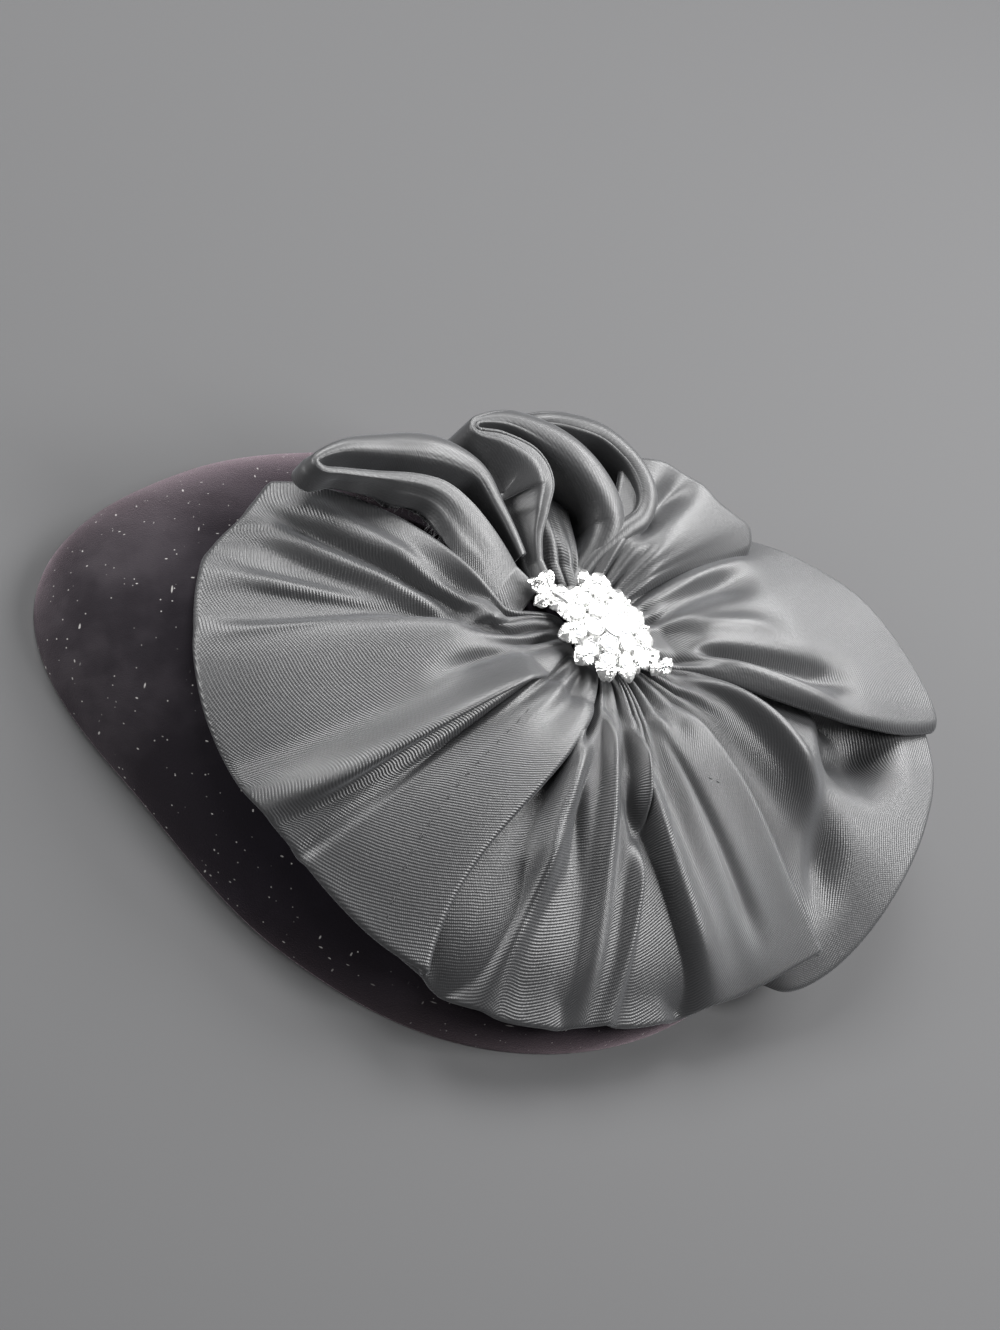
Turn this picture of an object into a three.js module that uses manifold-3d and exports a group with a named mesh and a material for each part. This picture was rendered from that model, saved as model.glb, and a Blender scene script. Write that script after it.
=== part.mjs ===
// A cocktail hat: a shallow crown of black velvet that narrows towards one end, with a rosette of
// doubled black satin ribbon gathered off centre on top, and a jewelled spray brooch on the gather.
// Millimetres, +Z up. The rim lies at z = 0 and the crown's narrow end points along -X.

import * as THREE from 'three';
import Module from 'manifold-3d';

const wasm = await Module();
wasm.setup();

// Driving dimensions
const CROWN_LENGTH = 208;
const CROWN_WIDTH = 165;
const CROWN_HEIGHT = 42;
const CROWN_WALL = 2.4;
const GATHER_X = 15;
const GATHER_Y = 3;
const GATHER_RADIUS = 8;
const ROSETTE_REACH = 95;
const RIBBON_WALL = 1.4;
const LOOP_WALL = 1.1;
const CLEARANCE = 0.3;
const BROOCH_LENGTH = 43;
const BROOCH_PLATE = 1.2;
const BROOCH_DOME = 3.4;
const BROOCH_LIFT = 7;
const PIN_RADIUS = 1.8;
const STONE_CENTRE = 6;
const STONE_INNER = 4.2;
const STONE_OUTER = 3.4;
const STONE_SPRAY = 2.8;
// How far a stone's girdle stands above the plate, as a share of its size
const STONE_RISE = 0.1;

// The crown's outline, as shares of the oval of its length and width, every 30 degrees from +X
const OUTLINE = [0.99, 1.03, 1.03, 0.933, 0.86, 0.925, 1.03, 0.906, 0.958, 1.03, 1.05, 1.03];
// How square the shoulder is, and how round the dome comes down to the rim
const SHOULDER_POWER = 2.6;
const DOME_POWER = 1.8;

const radians = (degrees) => degrees * Math.PI / 180;
const clamp = (value, low, high) => Math.min(Math.max(value, low), high);
const step = (value, low, high) => {
  const t = clamp((value - low) / (high - low), 0, 1);
  return t * t * (3 - 2 * t);
};

// Catmull-Rom through four neighbouring values
function blendFour(p0, p1, p2, p3, f) {
  const square = (2 * p0 - 5 * p1 + 4 * p2 - p3) * f * f;
  const cube = (3 * p1 - p0 - 3 * p2 + p3) * f * f * f;
  return 0.5 * (2 * p1 + (p2 - p0) * f + square + cube);
}

// A smooth curve through evenly spaced values that meets itself after one turn
function closedCurve(values, turns) {
  const n = values.length;
  const x = (turns - Math.floor(turns)) * n;
  const i = Math.floor(x);
  const at = (k) => values[(k + n) % n];
  return blendFour(at(i - 1), at(i), at(i + 1), at(i + 2), x - i);
}

// A smooth curve through evenly spaced values from share 0 to share 1
function openCurve(values, share) {
  const n = values.length;
  const x = clamp(share, 0, 1) * (n - 1);
  const i = Math.min(Math.floor(x), n - 2);
  const before = i > 0 ? values[i - 1] : 2 * values[i] - values[i + 1];
  const after = i < n - 2 ? values[i + 2] : 2 * values[i + 1] - values[i];
  return blendFour(before, values[i], values[i + 1], after, x - i);
}

// Each column of a table as a list of its own
const columns = (rows) => rows[0].map((_, k) => rows.map((row) => row[k]));

// Crown

// The crown's plan radius along a bearing, for an oval smaller all round by inset
function outlineRadius(bearing, inset) {
  const a = CROWN_LENGTH / 2;
  const b = CROWN_WIDTH / 2;
  const oval = a * b / Math.hypot(b * Math.cos(bearing), a * Math.sin(bearing));
  return oval * closedCurve(OUTLINE, bearing / (2 * Math.PI)) - inset;
}

// Height of the crown at a share of the way from its middle to its rim
const domeHeight = (share, top) =>
  top * Math.max(0, 1 - share ** SHOULDER_POWER) ** (1 / DOME_POWER);

// Height of the crown's outside above a point, and zero past the rim
function crownHeight(x, y) {
  const share = Math.hypot(x, y) / outlineRadius(Math.atan2(y, x), 0);
  return share < 1 ? domeHeight(share, CROWN_HEIGHT) : 0;
}

const CROWN_SIDES = 44;
const CROWN_RINGS = 8;

// The rings of points of a dome, added to a list, and the place in it of the first one
function domePoints(points, inset, top) {
  const first = points.length;
  points.push([0, 0, top]);
  for (let k = 1; k <= CROWN_RINGS; k += 1) {
    const share = 1 - (1 - k / CROWN_RINGS) ** 2;
    for (let j = 0; j < CROWN_SIDES; j += 1) {
      const bearing = 2 * Math.PI * j / CROWN_SIDES;
      const radius = outlineRadius(bearing, inset) * share;
      points.push([radius * Math.cos(bearing), radius * Math.sin(bearing), domeHeight(share, top)]);
    }
  }
  return first;
}

const onRing = (first, ring, j) => first + 1 + (ring - 1) * CROWN_SIDES + j % CROWN_SIDES;

// The dome's triangles, facing up
function domeFaces(first) {
  const faces = [];
  for (let j = 0; j < CROWN_SIDES; j += 1) {
    faces.push([first, onRing(first, 1, j), onRing(first, 1, j + 1)]);
    for (let ring = 1; ring < CROWN_RINGS; ring += 1) {
      const [a, b] = [onRing(first, ring, j), onRing(first, ring, j + 1)];
      const [c, d] = [onRing(first, ring + 1, j + 1), onRing(first, ring + 1, j)];
      faces.push([a, d, c], [a, c, b]);
    }
  }
  return faces;
}

// One closed shell: the outside dome, the flat ring of the rim, and the inside dome
function crownSolid() {
  const points = [];
  const outside = domePoints(points, 0, CROWN_HEIGHT);
  const inside = domePoints(points, CROWN_WALL, CROWN_HEIGHT - CROWN_WALL);
  const faces = domeFaces(outside);
  for (const [a, b, c] of domeFaces(inside)) faces.push([a, c, b]);
  for (let j = 0; j < CROWN_SIDES; j += 1) {
    const [a, b] = [onRing(outside, CROWN_RINGS, j), onRing(outside, CROWN_RINGS, j + 1)];
    const [c, d] = [onRing(inside, CROWN_RINGS, j + 1), onRing(inside, CROWN_RINGS, j)];
    faces.push([a, d, c], [a, c, b]);
  }
  return solidFrom(points, faces);
}

// The room the crown takes, filled and grown by the clearance, that the ribbon keeps out of
function crownRoom() {
  const points = [];
  const first = domePoints(points, -CLEARANCE, CROWN_HEIGHT + CLEARANCE);
  const faces = domeFaces(first);
  const under = points.length;
  points.push([0, 0, 0]);
  for (let j = 0; j < CROWN_SIDES; j += 1) {
    faces.push([under, onRing(first, CROWN_RINGS, j + 1), onRing(first, CROWN_RINGS, j)]);
  }
  return solidFrom(points, faces);
}

// Solids

// A closed solid from points and triangles, turned right side out if they face inwards
function solidFrom(points, faces) {
  let volume = 0;
  for (const [a, b, c] of faces) {
    const [p, q, r] = [points[a], points[b], points[c]];
    volume += p[0] * (q[1] * r[2] - q[2] * r[1]) - p[1] * (q[0] * r[2] - q[2] * r[0])
      + p[2] * (q[0] * r[1] - q[1] * r[0]);
  }
  const outward = volume > 0 ? faces : faces.map(([a, b, c]) => [a, c, b]);
  const vertProperties = new Float32Array(points.flat());
  const triVerts = new Uint32Array(outward.flat());
  return new wasm.Manifold(new wasm.Mesh({ numProp: 3, vertProperties, triVerts }));
}

// A grid of points made a cloth wall: half the wall to each side, the free edges moved out by border
function clothSolid(grid, wall, border) {
  const [nu, nv] = [grid.length, grid[0].length];
  const spread = grid.map((row, i) => row.map((p, j) => {
    const moved = p.clone();
    const push = (other) => moved.addScaledVector(p.clone().sub(other).normalize(), border);
    if (border > 0 && i === 0) push(grid[1][j]);
    if (border > 0 && i === nu - 1) push(grid[nu - 2][j]);
    if (border > 0 && j === 0) push(grid[i][1]);
    if (border > 0 && j === nv - 1) push(grid[i][nv - 2]);
    return moved;
  }));
  const points = [[], []];
  for (let i = 0; i < nu; i += 1) {
    for (let j = 0; j < nv; j += 1) {
      const du = grid[Math.min(i + 1, nu - 1)][j].clone().sub(grid[Math.max(i - 1, 0)][j]);
      const dv = grid[i][Math.min(j + 1, nv - 1)].clone().sub(grid[i][Math.max(j - 1, 0)]);
      const normal = du.cross(dv).normalize();
      points[0].push(spread[i][j].clone().addScaledVector(normal, wall / 2).toArray());
      points[1].push(spread[i][j].clone().addScaledVector(normal, -wall / 2).toArray());
    }
  }
  const faces = [];
  const near = (i, j) => i * nv + j;
  const far = (i, j) => nu * nv + i * nv + j;
  for (let i = 0; i < nu - 1; i += 1) {
    for (let j = 0; j < nv - 1; j += 1) {
      faces.push([near(i, j), near(i + 1, j), near(i + 1, j + 1)]);
      faces.push([near(i, j), near(i + 1, j + 1), near(i, j + 1)]);
      faces.push([far(i, j), far(i + 1, j + 1), far(i + 1, j)]);
      faces.push([far(i, j), far(i, j + 1), far(i + 1, j + 1)]);
    }
    faces.push([near(i, 0), far(i + 1, 0), near(i + 1, 0)], [near(i, 0), far(i, 0), far(i + 1, 0)]);
    const last = nv - 1;
    faces.push([near(i, last), near(i + 1, last), far(i + 1, last)]);
    faces.push([near(i, last), far(i + 1, last), far(i, last)]);
  }
  for (let j = 0; j < nv - 1; j += 1) {
    faces.push([near(0, j), near(0, j + 1), far(0, j + 1)], [near(0, j), far(0, j + 1), far(0, j)]);
    const last = nu - 1;
    faces.push([near(last, j), far(last, j + 1), near(last, j + 1)]);
    faces.push([near(last, j), far(last, j), far(last, j + 1)]);
  }
  return solidFrom([...points[0], ...points[1]], faces);
}

// Ribbon fans: cloth that leaves the gather, lies out over the crown and ends in a free hem.
// A fan row holds bearings at the gather and at the hem and how far the line between bows, in
// degrees; the hem's reach as a share of the rosette's; its height as a share of the crown's; and
// how far the cloth crests in between, as a share of the crown's height.
// A fold row holds bearings at its two ends; the shares of the reach where it begins and ends; and
// its width, rise and lean as shares of the reach.

const FAN_LEFT = {
  rows: [
    [188, 163, -14, 0.88, 0.92, 0.27],
    [190, 171, -12, 0.91, 0.88, 0.25],
    [188, 177, -4, 0.96, 0.84, 0.22],
    [186, 181, 0, 0.99, 0.82, 0.22],
    [190, 188, 0, 1, 0.78, 0.22],
    [196, 194, 0, 1, 0.74, 0.22],
    [205, 203, 0, 0.98, 0.66, 0.22],
    [215, 213, 2, 0.95, 0.6, 0.22],
    [228, 222, 2, 0.93, 0.57, 0.22],
    [252, 232, -6, 0.92, 0.54, 0.24],
    [272, 243, -10, 0.92, 0.52, 0.24],
    [288, 251, -14, 0.91, 0.5, 0.24],
  ],
  folds: [
    [178, 171, 0.4, 0.9, 0.05, -0.035, 0],
    [182, 177, 0.4, 0.96, 0.06, -0.055, 0],
    [180, 180, 0.25, 0.98, 0.055, 0.045, 0.01],
    [186, 187, 0.35, 0.96, 0.055, -0.06, 0],
    [187, 191, 0.35, 1, 0.05, 0.04, 0.01],
    [176, 168, 0.22, 0.66, 0.1, -0.065, 0],
    [221, 220, 0.25, 0.95, 0.05, 0.036, 0.01],
    [231, 226, 0.2, 0.97, 0.045, -0.065, -0.01],
  ],
  cells: [25, 8],
};

const FAN_FRONT = {
  rows: [
    [290, 246, -14, 0.9, 0.44, 0.12],
    [292, 254, -13, 0.91, 0.42, 0.15],
    [295, 260, -13, 0.92, 0.4, 0.2],
    [301, 266, -12, 0.92, 0.4, 0.2],
    [309, 275, -8, 0.91, 0.38, 0.2],
    [318, 283, -8, 0.9, 0.38, 0.22],
    [323, 292, -10, 0.91, 0.36, 0.18],
    [326, 303, -12, 0.92, 0.34, 0.2],
    [329, 312, -8, 0.95, 0.42, 0.25],
    [333, 320, -3, 0.98, 0.5, 0.27],
    [337, 327, -2, 1.02, 0.56, 0.28],
  ],
  folds: [
    [262, 258, 0.3, 1, 0.055, -0.06, 0],
    [266, 260, 0.27, 1, 0.045, 0.045, 0.02],
    [288, 283.5, 0.25, 0.98, 0.045, 0.055, -0.025],
    [293, 296, 0.36, 0.98, 0.06, -0.08, 0],
    [299, 308, 0.33, 1, 0.055, 0.04, -0.015],
  ],
  cells: [22, 8],
};

const FAN_RIGHT = {
  rows: [
    [330, 318, -4, 0.96, 0.34, 0.08],
    [331, 321, -3, 1.03, 0.36, 0.09],
    [333, 327, -2, 1.08, 0.42, 0.12],
    [336, 334, 0, 1.11, 0.54, 0.17],
    [340, 342, 0, 1.13, 0.7, 0.2],
    [344, 352, 0, 1.16, 0.8, 0.2],
    [349, 361, 0, 1.19, 0.82, 0.14],
    [353, 371, 0, 1.17, 0.8, 0.05],
    [358, 380, 0, 1.12, 0.84, 0],
    [363, 388, 0, 1.02, 0.86, 0],
  ],
  folds: [
    [357, 341, 0.22, 0.78, 0.055, 0.08, -0.01],
    [341, 335, 0.25, 0.72, 0.04, -0.03, 0],
    [373, 364, 0.25, 0.95, 0.055, -0.06, 0],
    [356, 361, 0.76, 1.06, 0.15, -0.13, 0],
    [340, 332, 0.78, 1, 0.09, -0.06, 0],
  ],
  cells: [20, 9],
};

const SWEEP_RIGHT = {
  rows: [
    [354, 366, -3, 1.2, 0.9, 0.26],
    [360, 370, 0, 1.17, 0.95, 0.26],
    [372, 378, 2, 1.1, 0.98, 0.24],
    [386, 387, 2, 1, 1, 0.24],
    [398, 396, 2, 0.86, 1, 0.22],
    [408, 404, 2, 0.74, 0.98, 0.12],
    [416, 414, 2, 0.66, 0.9, 0.02],
    [424, 424, 0, 0.58, 0.84, 0],
  ],
  folds: [
    [367, 368, 0.3, 0.84, 0.05, -0.06, 0],
    [394, 394, 0.2, 0.6, 0.055, -0.04, 0],
  ],
  cells: [16, 8],
};

const FOLD_TOP = {
  rows: [
    [62, 40, -4, 0.66, 1.14, 0.15],
    [66, 44, -4, 0.68, 1.2, 0.2],
    [70, 48, -4, 0.65, 1.25, 0.24],
    [75, 54, -3, 0.61, 1.3, 0.27],
    [80, 61, -2, 0.6, 1.34, 0.27],
    [85, 69, -2, 0.57, 1.37, 0.24],
    [89, 76, -2, 0.54, 1.38, 0.2],
    [93, 84, -2, 0.51, 1.34, 0.2],
  ],
  folds: [
    [70, 63, 0.3, 0.66, 0.05, -0.05, 0],
  ],
  cells: [13, 6],
};

// The cloth's middle never comes nearer to the crown than half its wall and the clearance
function restOnCrown(x, y, z, wall) {
  const floor = crownHeight(x, y) + wall / 2 + CLEARANCE;
  const softness = 1.2;
  return 0.5 * (z + floor + Math.hypot(z - floor, softness));
}

const SEAT_Z = crownHeight(GATHER_X, GATHER_Y) + RIBBON_WALL / 2 + CLEARANCE;
const BROOCH_Z = SEAT_Z + BROOCH_LIFT;
// The brooch's footprint: the bearing of its long axis, and its half sizes as shares of its length
const BROOCH_BEARING = -18;
const FOOTPRINT = { long: 0.66, wide: 0.46 };

// The brooch presses the cloth down under it, and lets it rise again past its edge
function pressDown(x, y, z, wall) {
  const [c, s] = [Math.cos(radians(BROOCH_BEARING)), Math.sin(radians(BROOCH_BEARING))];
  const a = ((x - GATHER_X) * c + (y - GATHER_Y) * s) / (FOOTPRINT.long * BROOCH_LENGTH);
  const b = ((y - GATHER_Y) * c - (x - GATHER_X) * s) / (FOOTPRINT.wide * BROOCH_LENGTH);
  const past = Math.max(0, Math.hypot(a, b) - 1);
  const ceiling = BROOCH_Z - 2 * CLEARANCE - wall / 2 + past * BROOCH_LENGTH / 3;
  return 0.5 * (z + ceiling - Math.hypot(z - ceiling, 1));
}

function fanGrid({ rows, folds, cells }) {
  const [root, hem, bow, reach, height, crest] = columns(rows);
  const grid = [];
  for (let i = 0; i <= cells[0]; i += 1) {
    const u = i / cells[0];
    const line = [];
    for (let j = 0; j <= cells[1]; j += 1) {
      const v = j / cells[1];
      const radius = GATHER_RADIUS + (openCurve(reach, u) * ROSETTE_REACH - GATHER_RADIUS) * v;
      const start = openCurve(root, u);
      const swing = (openCurve(hem, u) - start) * v ** 0.8;
      const bearing = start + swing + openCurve(bow, u) * 4 * v * (1 - v);
      const end = openCurve(height, u) * CROWN_HEIGHT;
      let z = SEAT_Z + (end - SEAT_Z) * v ** 1.6;
      z += openCurve(crest, u) * CROWN_HEIGHT * Math.sin(Math.PI * v ** 0.6);
      let slide = 0;
      for (const [from, to, near, far, width, rise, lean] of folds) {
        const out = radius / ROSETTE_REACH;
        const share = clamp((out - near) / (far - near), 0, 1.4);
        const side = radians(bearing - from - (to - from) * share) * radius;
        const wide = width * ROSETTE_REACH * clamp(out / far, 0.15, 1);
        const along = step(out, near - 0.06, near + 0.1) * (1 - step(out, far - 0.14, far + 0.04));
        const bump = Math.exp(-((side / wide) ** 2)) * along * (1 - 0.5 * step(v, 0.8, 1));
        z += rise * ROSETTE_REACH * bump;
        slide += lean * ROSETTE_REACH * bump;
      }
      const [c, s] = [Math.cos(radians(bearing)), Math.sin(radians(bearing))];
      const x = GATHER_X + radius * c - slide * s;
      const y = GATHER_Y + radius * s + slide * c;
      z = restOnCrown(x, y, pressDown(x, y, z, RIBBON_WALL), RIBBON_WALL);
      line.push(new THREE.Vector3(x, y, z));
    }
    grid.push(line);
  }
  return grid;
}

// Standing loops: doubled ribbon on edge, whose soft rolled rim leaves the gather, turns at a tip and
// comes back. A row holds the rim's bearing in degrees, its distance from the gather as a share of
// the rosette's reach, its height as a share of the crown's, and then, as shares of the reach, the
// rim's roll and the flare of the outer layer. The last column is how far the outer layer comes down
// towards the crown, from 0 to 1.

const LOOP_TOP = {
  rows: [
    [133, 0.15, 1.17, 0.011, 0.01, 1],
    [131, 0.21, 1.21, 0.011, 0.02, 1],
    [127, 0.285, 1.29, 0.011, 0.03, 1],
    [121, 0.34, 1.36, 0.011, 0.055, 1],
    [117, 0.4, 1.41, 0.011, 0.085, 1],
    [120, 0.475, 1.44, 0.011, 0.085, 1],
    [128, 0.54, 1.45, 0.01, 0.04, 1],
    [134, 0.58, 1.44, 0.01, 0.015, 1],
    [132, 0.6, 1.45, 0.012, 0.015, 1],
    [123, 0.57, 1.48, 0.022, 0.02, 1],
    [112, 0.505, 1.49, 0.038, 0.02, 1],
    [102, 0.44, 1.48, 0.042, 0.02, 1],
    [92, 0.38, 1.43, 0.042, 0.02, 1],
    [86, 0.325, 1.38, 0.04, 0.02, 1],
    [87, 0.265, 1.31, 0.032, 0.015, 1],
    [96, 0.2, 1.21, 0.022, 0.01, 1],
    [108, 0.15, 1.17, 0.014, 0.01, 1],
  ],
  turn: 1,
  cells: 24,
};

const LOOP_LEFT = {
  rows: [
    [150, 0.18, 1.19, 0.011, 0.1, 0.6],
    [149.5, 0.27, 1.24, 0.011, 0.12, 0.35],
    [150, 0.38, 1.29, 0.011, 0.13, 0.3],
    [150, 0.465, 1.33, 0.011, 0.125, 0.34],
    [151, 0.54, 1.37, 0.011, 0.1, 0.55],
    [157, 0.61, 1.37, 0.011, 0.06, 0.9],
    [162, 0.695, 1.35, 0.011, 0.035, 1],
    [165.5, 0.78, 1.35, 0.01, 0.02, 1],
    [168, 0.84, 1.36, 0.01, 0.01, 1],
    [167, 0.865, 1.39, 0.011, 0.01, 1],
    [162, 0.8, 1.44, 0.018, 0.01, 1],
    [156, 0.715, 1.45, 0.028, 0.02, 1],
    [149, 0.63, 1.45, 0.036, 0.02, 1],
    [143, 0.56, 1.42, 0.034, 0.02, 1],
    [138, 0.49, 1.36, 0.024, 0.01, 1],
    [137, 0.4, 1.27, 0.018, 0.01, 1],
    [139, 0.27, 1.19, 0.013, 0.01, 1],
  ],
  turn: 1,
  cells: 24,
};

const LOOP_BACK = {
  rows: [
    [98, 0.18, 1.19, 0.014, 0.01, 1],
    [88, 0.245, 1.26, 0.018, 0.01, 1],
    [78, 0.32, 1.33, 0.021, 0.02, 1],
    [73, 0.38, 1.37, 0.023, 0.02, 1],
    [75, 0.445, 1.41, 0.025, 0.02, 1],
    [82, 0.505, 1.43, 0.025, 0.02, 1],
    [92, 0.55, 1.44, 0.023, 0.02, 1],
    [102, 0.57, 1.42, 0.021, 0.02, 1],
    [110, 0.585, 1.36, 0.018, 0.02, 1],
    [117, 0.6, 1.22, 0.014, 0.015, 1],
    [122, 0.61, 1.08, 0.011, 0.01, 1],
  ],
  turn: -1,
  cells: 14,
};

// Shares of a quarter round at which the rolled rim is rounded off
const ROUND = Math.SQRT1_2;

function loopGrid({ rows, turn, cells }) {
  const [bearing, out, height, roll, flare, drop] = columns(rows);
  const across = out.map((o, k) => o * Math.cos(radians(bearing[k])));
  const along = out.map((o, k) => o * Math.sin(radians(bearing[k])));
  const place = (u) => [openCurve(across, u) * ROSETTE_REACH, openCurve(along, u) * ROSETTE_REACH];
  const grid = [];
  for (let i = 0; i <= cells; i += 1) {
    const u = i / cells;
    const [x, y] = place(u);
    const [x0, y0] = place(Math.max(u - 0.01, 0));
    const [x1, y1] = place(Math.min(u + 0.01, 1));
    const length = Math.hypot(x1 - x0, y1 - y0);
    const outward = [-(y1 - y0) / length * turn, (x1 - x0) / length * turn];
    const r = Math.max(openCurve(roll, u), 0.008) * ROSETTE_REACH;
    const skirt = openCurve(flare, u) * ROSETTE_REACH;
    const free = openCurve(height, u) * CROWN_HEIGHT;
    const top = pressDown(GATHER_X + x, GATHER_Y + y, free, LOOP_WALL);
    const footAt = (offset) => crownHeight(GATHER_X + x + outward[0] * offset,
      GATHER_Y + y + outward[1] * offset) + LOOP_WALL / 2 + CLEARANCE;
    const inner = footAt(-r);
    const outer = top - r + (footAt(r + skirt) - top + r) * openCurve(drop, u);
    const middle = (top - r + outer) / 2;
    const section = [
      [-r, inner],
      [-r, top - r],
      [-r * ROUND, top - r * (1 - ROUND)],
      [0, top],
      [r * ROUND + skirt * 0.08, top - r * (1 - ROUND)],
      [r + skirt * 0.22, top - r],
      [r + skirt, middle],
      [r + skirt * 0.95, outer],
    ];
    grid.push(section.map(([offset, z]) => new THREE.Vector3(
      GATHER_X + x + outward[0] * offset, GATHER_Y + y + outward[1] * offset, z)));
  }
  return grid;
}

// Ribbon pieces from the top layer down; each is cut clear of the crown and of those that lie over it
const RIBBONS = [
  { name: 'ribbon_fan_left', grid: fanGrid(FAN_LEFT), wall: RIBBON_WALL },
  { name: 'ribbon_fan_front', grid: fanGrid(FAN_FRONT), wall: RIBBON_WALL },
  { name: 'ribbon_fold_top', grid: fanGrid(FOLD_TOP), wall: RIBBON_WALL },
  { name: 'ribbon_sweep_right', grid: fanGrid(SWEEP_RIGHT), wall: RIBBON_WALL },
  { name: 'ribbon_fan_right', grid: fanGrid(FAN_RIGHT), wall: RIBBON_WALL },
  { name: 'ribbon_loop_top', grid: loopGrid(LOOP_TOP), wall: LOOP_WALL },
  { name: 'ribbon_loop_left', grid: loopGrid(LOOP_LEFT), wall: LOOP_WALL },
  { name: 'ribbon_loop_back', grid: loopGrid(LOOP_BACK), wall: LOOP_WALL },
];

// The biggest single body of a solid that a cut may have split
function biggest(solid) {
  const bodies = solid.decompose();
  return bodies.reduce((best, body) => (body.volume() > best.volume() ? body : best));
}

function ribbonSolids() {
  const over = [crownRoom()];
  return RIBBONS.map(({ name, grid, wall }) => {
    let solid = clothSolid(grid, wall, 0);
    for (const upper of over) solid = solid.subtract(upper);
    over.push(clothSolid(grid, wall + 2 * CLEARANCE, CLEARANCE));
    return { name, solid: biggest(solid) };
  });
}

// Brooch: a domed plate of leaves with a cut stone in a collet at each seat, on a short pin.
// Leaf rows: place along the hat's X and Y from the gather, as shares of the brooch's length; the
// bearing it points along; its length and width as shares of the brooch's length.
const LEAVES = [
  [0.06, 0.3, 100, 0.15, 0.14],
  [0.19, 0.24, 62, 0.14, 0.12],
  [0.31, 0.1, 22, 0.15, 0.1],
  [0.33, -0.04, -8, 0.14, 0.1],
  [0.24, -0.16, -38, 0.13, 0.12],
  [0.06, -0.25, -80, 0.15, 0.12],
  [-0.1, -0.2, 232, 0.14, 0.11],
  [-0.2, -0.06, 196, 0.15, 0.12],
  [-0.16, 0.12, 150, 0.16, 0.1],
  [-0.08, 0.27, 112, 0.14, 0.09],
  [-0.36, 0.28, 118, 0.11, 0.08],
  [-0.44, 0.21, 168, 0.12, 0.08],
  [-0.4, 0.1, 214, 0.12, 0.08],
  [0.47, -0.13, 20, 0.13, 0.09],
];
const CLUSTER_X = 0.05;
const CLUSTER_Y = 0.02;
const CLUSTER_RADIUS = 0.25;
// Stems that carry the spray's far leaves: two ends and a width, as shares of the brooch's length
const STEMS = [
  [-0.12, 0.08, -0.4, 0.2, 0.05],
  [-0.36, 0.17, -0.36, 0.3, 0.04],
  [-0.36, 0.17, -0.42, 0.08, 0.04],
  [0.2, -0.06, 0.48, -0.13, 0.045],
];
// Rings of stones on the cluster: how many, the ring's radius as a share, the size, the first bearing
const STONE_RINGS = [
  { count: 1, ring: 0, size: STONE_CENTRE, first: 0 },
  { count: 6, ring: 0.135, size: STONE_INNER, first: 20 },
  { count: 11, ring: 0.237, size: STONE_OUTER, first: 5 },
];
// Single stones on the spray, as shares of the brooch's length
const SPRAY_STONES = [[-0.3, 0.17], [-0.385, 0.265], [-0.43, 0.19], [-0.41, 0.095], [0.475, -0.12], [0.385, -0.1]];

// Height of the brooch's top face at a place, as a low dome over the cluster
function broochTop(x, y) {
  const out = Math.hypot(x - CLUSTER_X * BROOCH_LENGTH, y - CLUSTER_Y * BROOCH_LENGTH);
  const share = out / (CLUSTER_RADIUS * 1.25 * BROOCH_LENGTH);
  return BROOCH_Z + BROOCH_PLATE + BROOCH_DOME * Math.max(0, 1 - share * share);
}

// A flat shape with upright sides, from a list of plan points
function slab(outline, bottom, top) {
  const n = outline.length;
  const points = [...outline.map(([x, y]) => [x, y, bottom]), ...outline.map(([x, y]) => [x, y, top])];
  const faces = [];
  for (let k = 0; k < n; k += 1) {
    const next = (k + 1) % n;
    faces.push([k, next, n + next], [k, n + next, n + k]);
    if (k > 0 && k < n - 1) faces.push([0, k + 1, k], [n, n + k, n + k + 1]);
  }
  return solidFrom(points, faces);
}

// A pointed leaf, thicker along its middle line
function leafSolid([across, up, bearing, length, width]) {
  const [x0, y0] = [across * BROOCH_LENGTH, up * BROOCH_LENGTH];
  const [c, s] = [Math.cos(radians(bearing)), Math.sin(radians(bearing))];
  const long = length * BROOCH_LENGTH;
  const wide = width * BROOCH_LENGTH / 2;
  const edge = [[-0.5, 0.5], [-0.05, 1], [0.35, 0.8], [0.62, 0]];
  const outline = [...edge, ...edge.slice(0, 3).reverse().map(([a, w]) => [a, -w])];
  const place = ([a, w]) => [x0 + a * long * c - w * wide * s, y0 + a * long * s + w * wide * c];
  const ridge = [[-0.3, 0], [0.3, 0]].map(place);
  const n = outline.length;
  const bottom = BROOCH_Z;
  const points = [
    ...outline.map(place).map(([x, y]) => [x, y, bottom]),
    ...outline.map(place).map(([x, y]) => [x, y, bottom + BROOCH_PLATE]),
    ...ridge.map(([x, y]) => [x, y, bottom + BROOCH_PLATE * 1.9]),
  ];
  const [low, high] = [2 * n, 2 * n + 1];
  const faces = [];
  for (let k = 0; k < n; k += 1) {
    const next = (k + 1) % n;
    faces.push([k, next, n + next], [k, n + next, n + k]);
    if (k > 0 && k < n - 1) faces.push([0, k + 1, k]);
    const nearest = k < 1 || k > n - 3 ? low : high;
    faces.push([n + k, n + next, nearest]);
  }
  faces.push([n + 1, high, low], [n + n - 2, low, high]);
  return solidFrom(points, faces);
}

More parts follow.
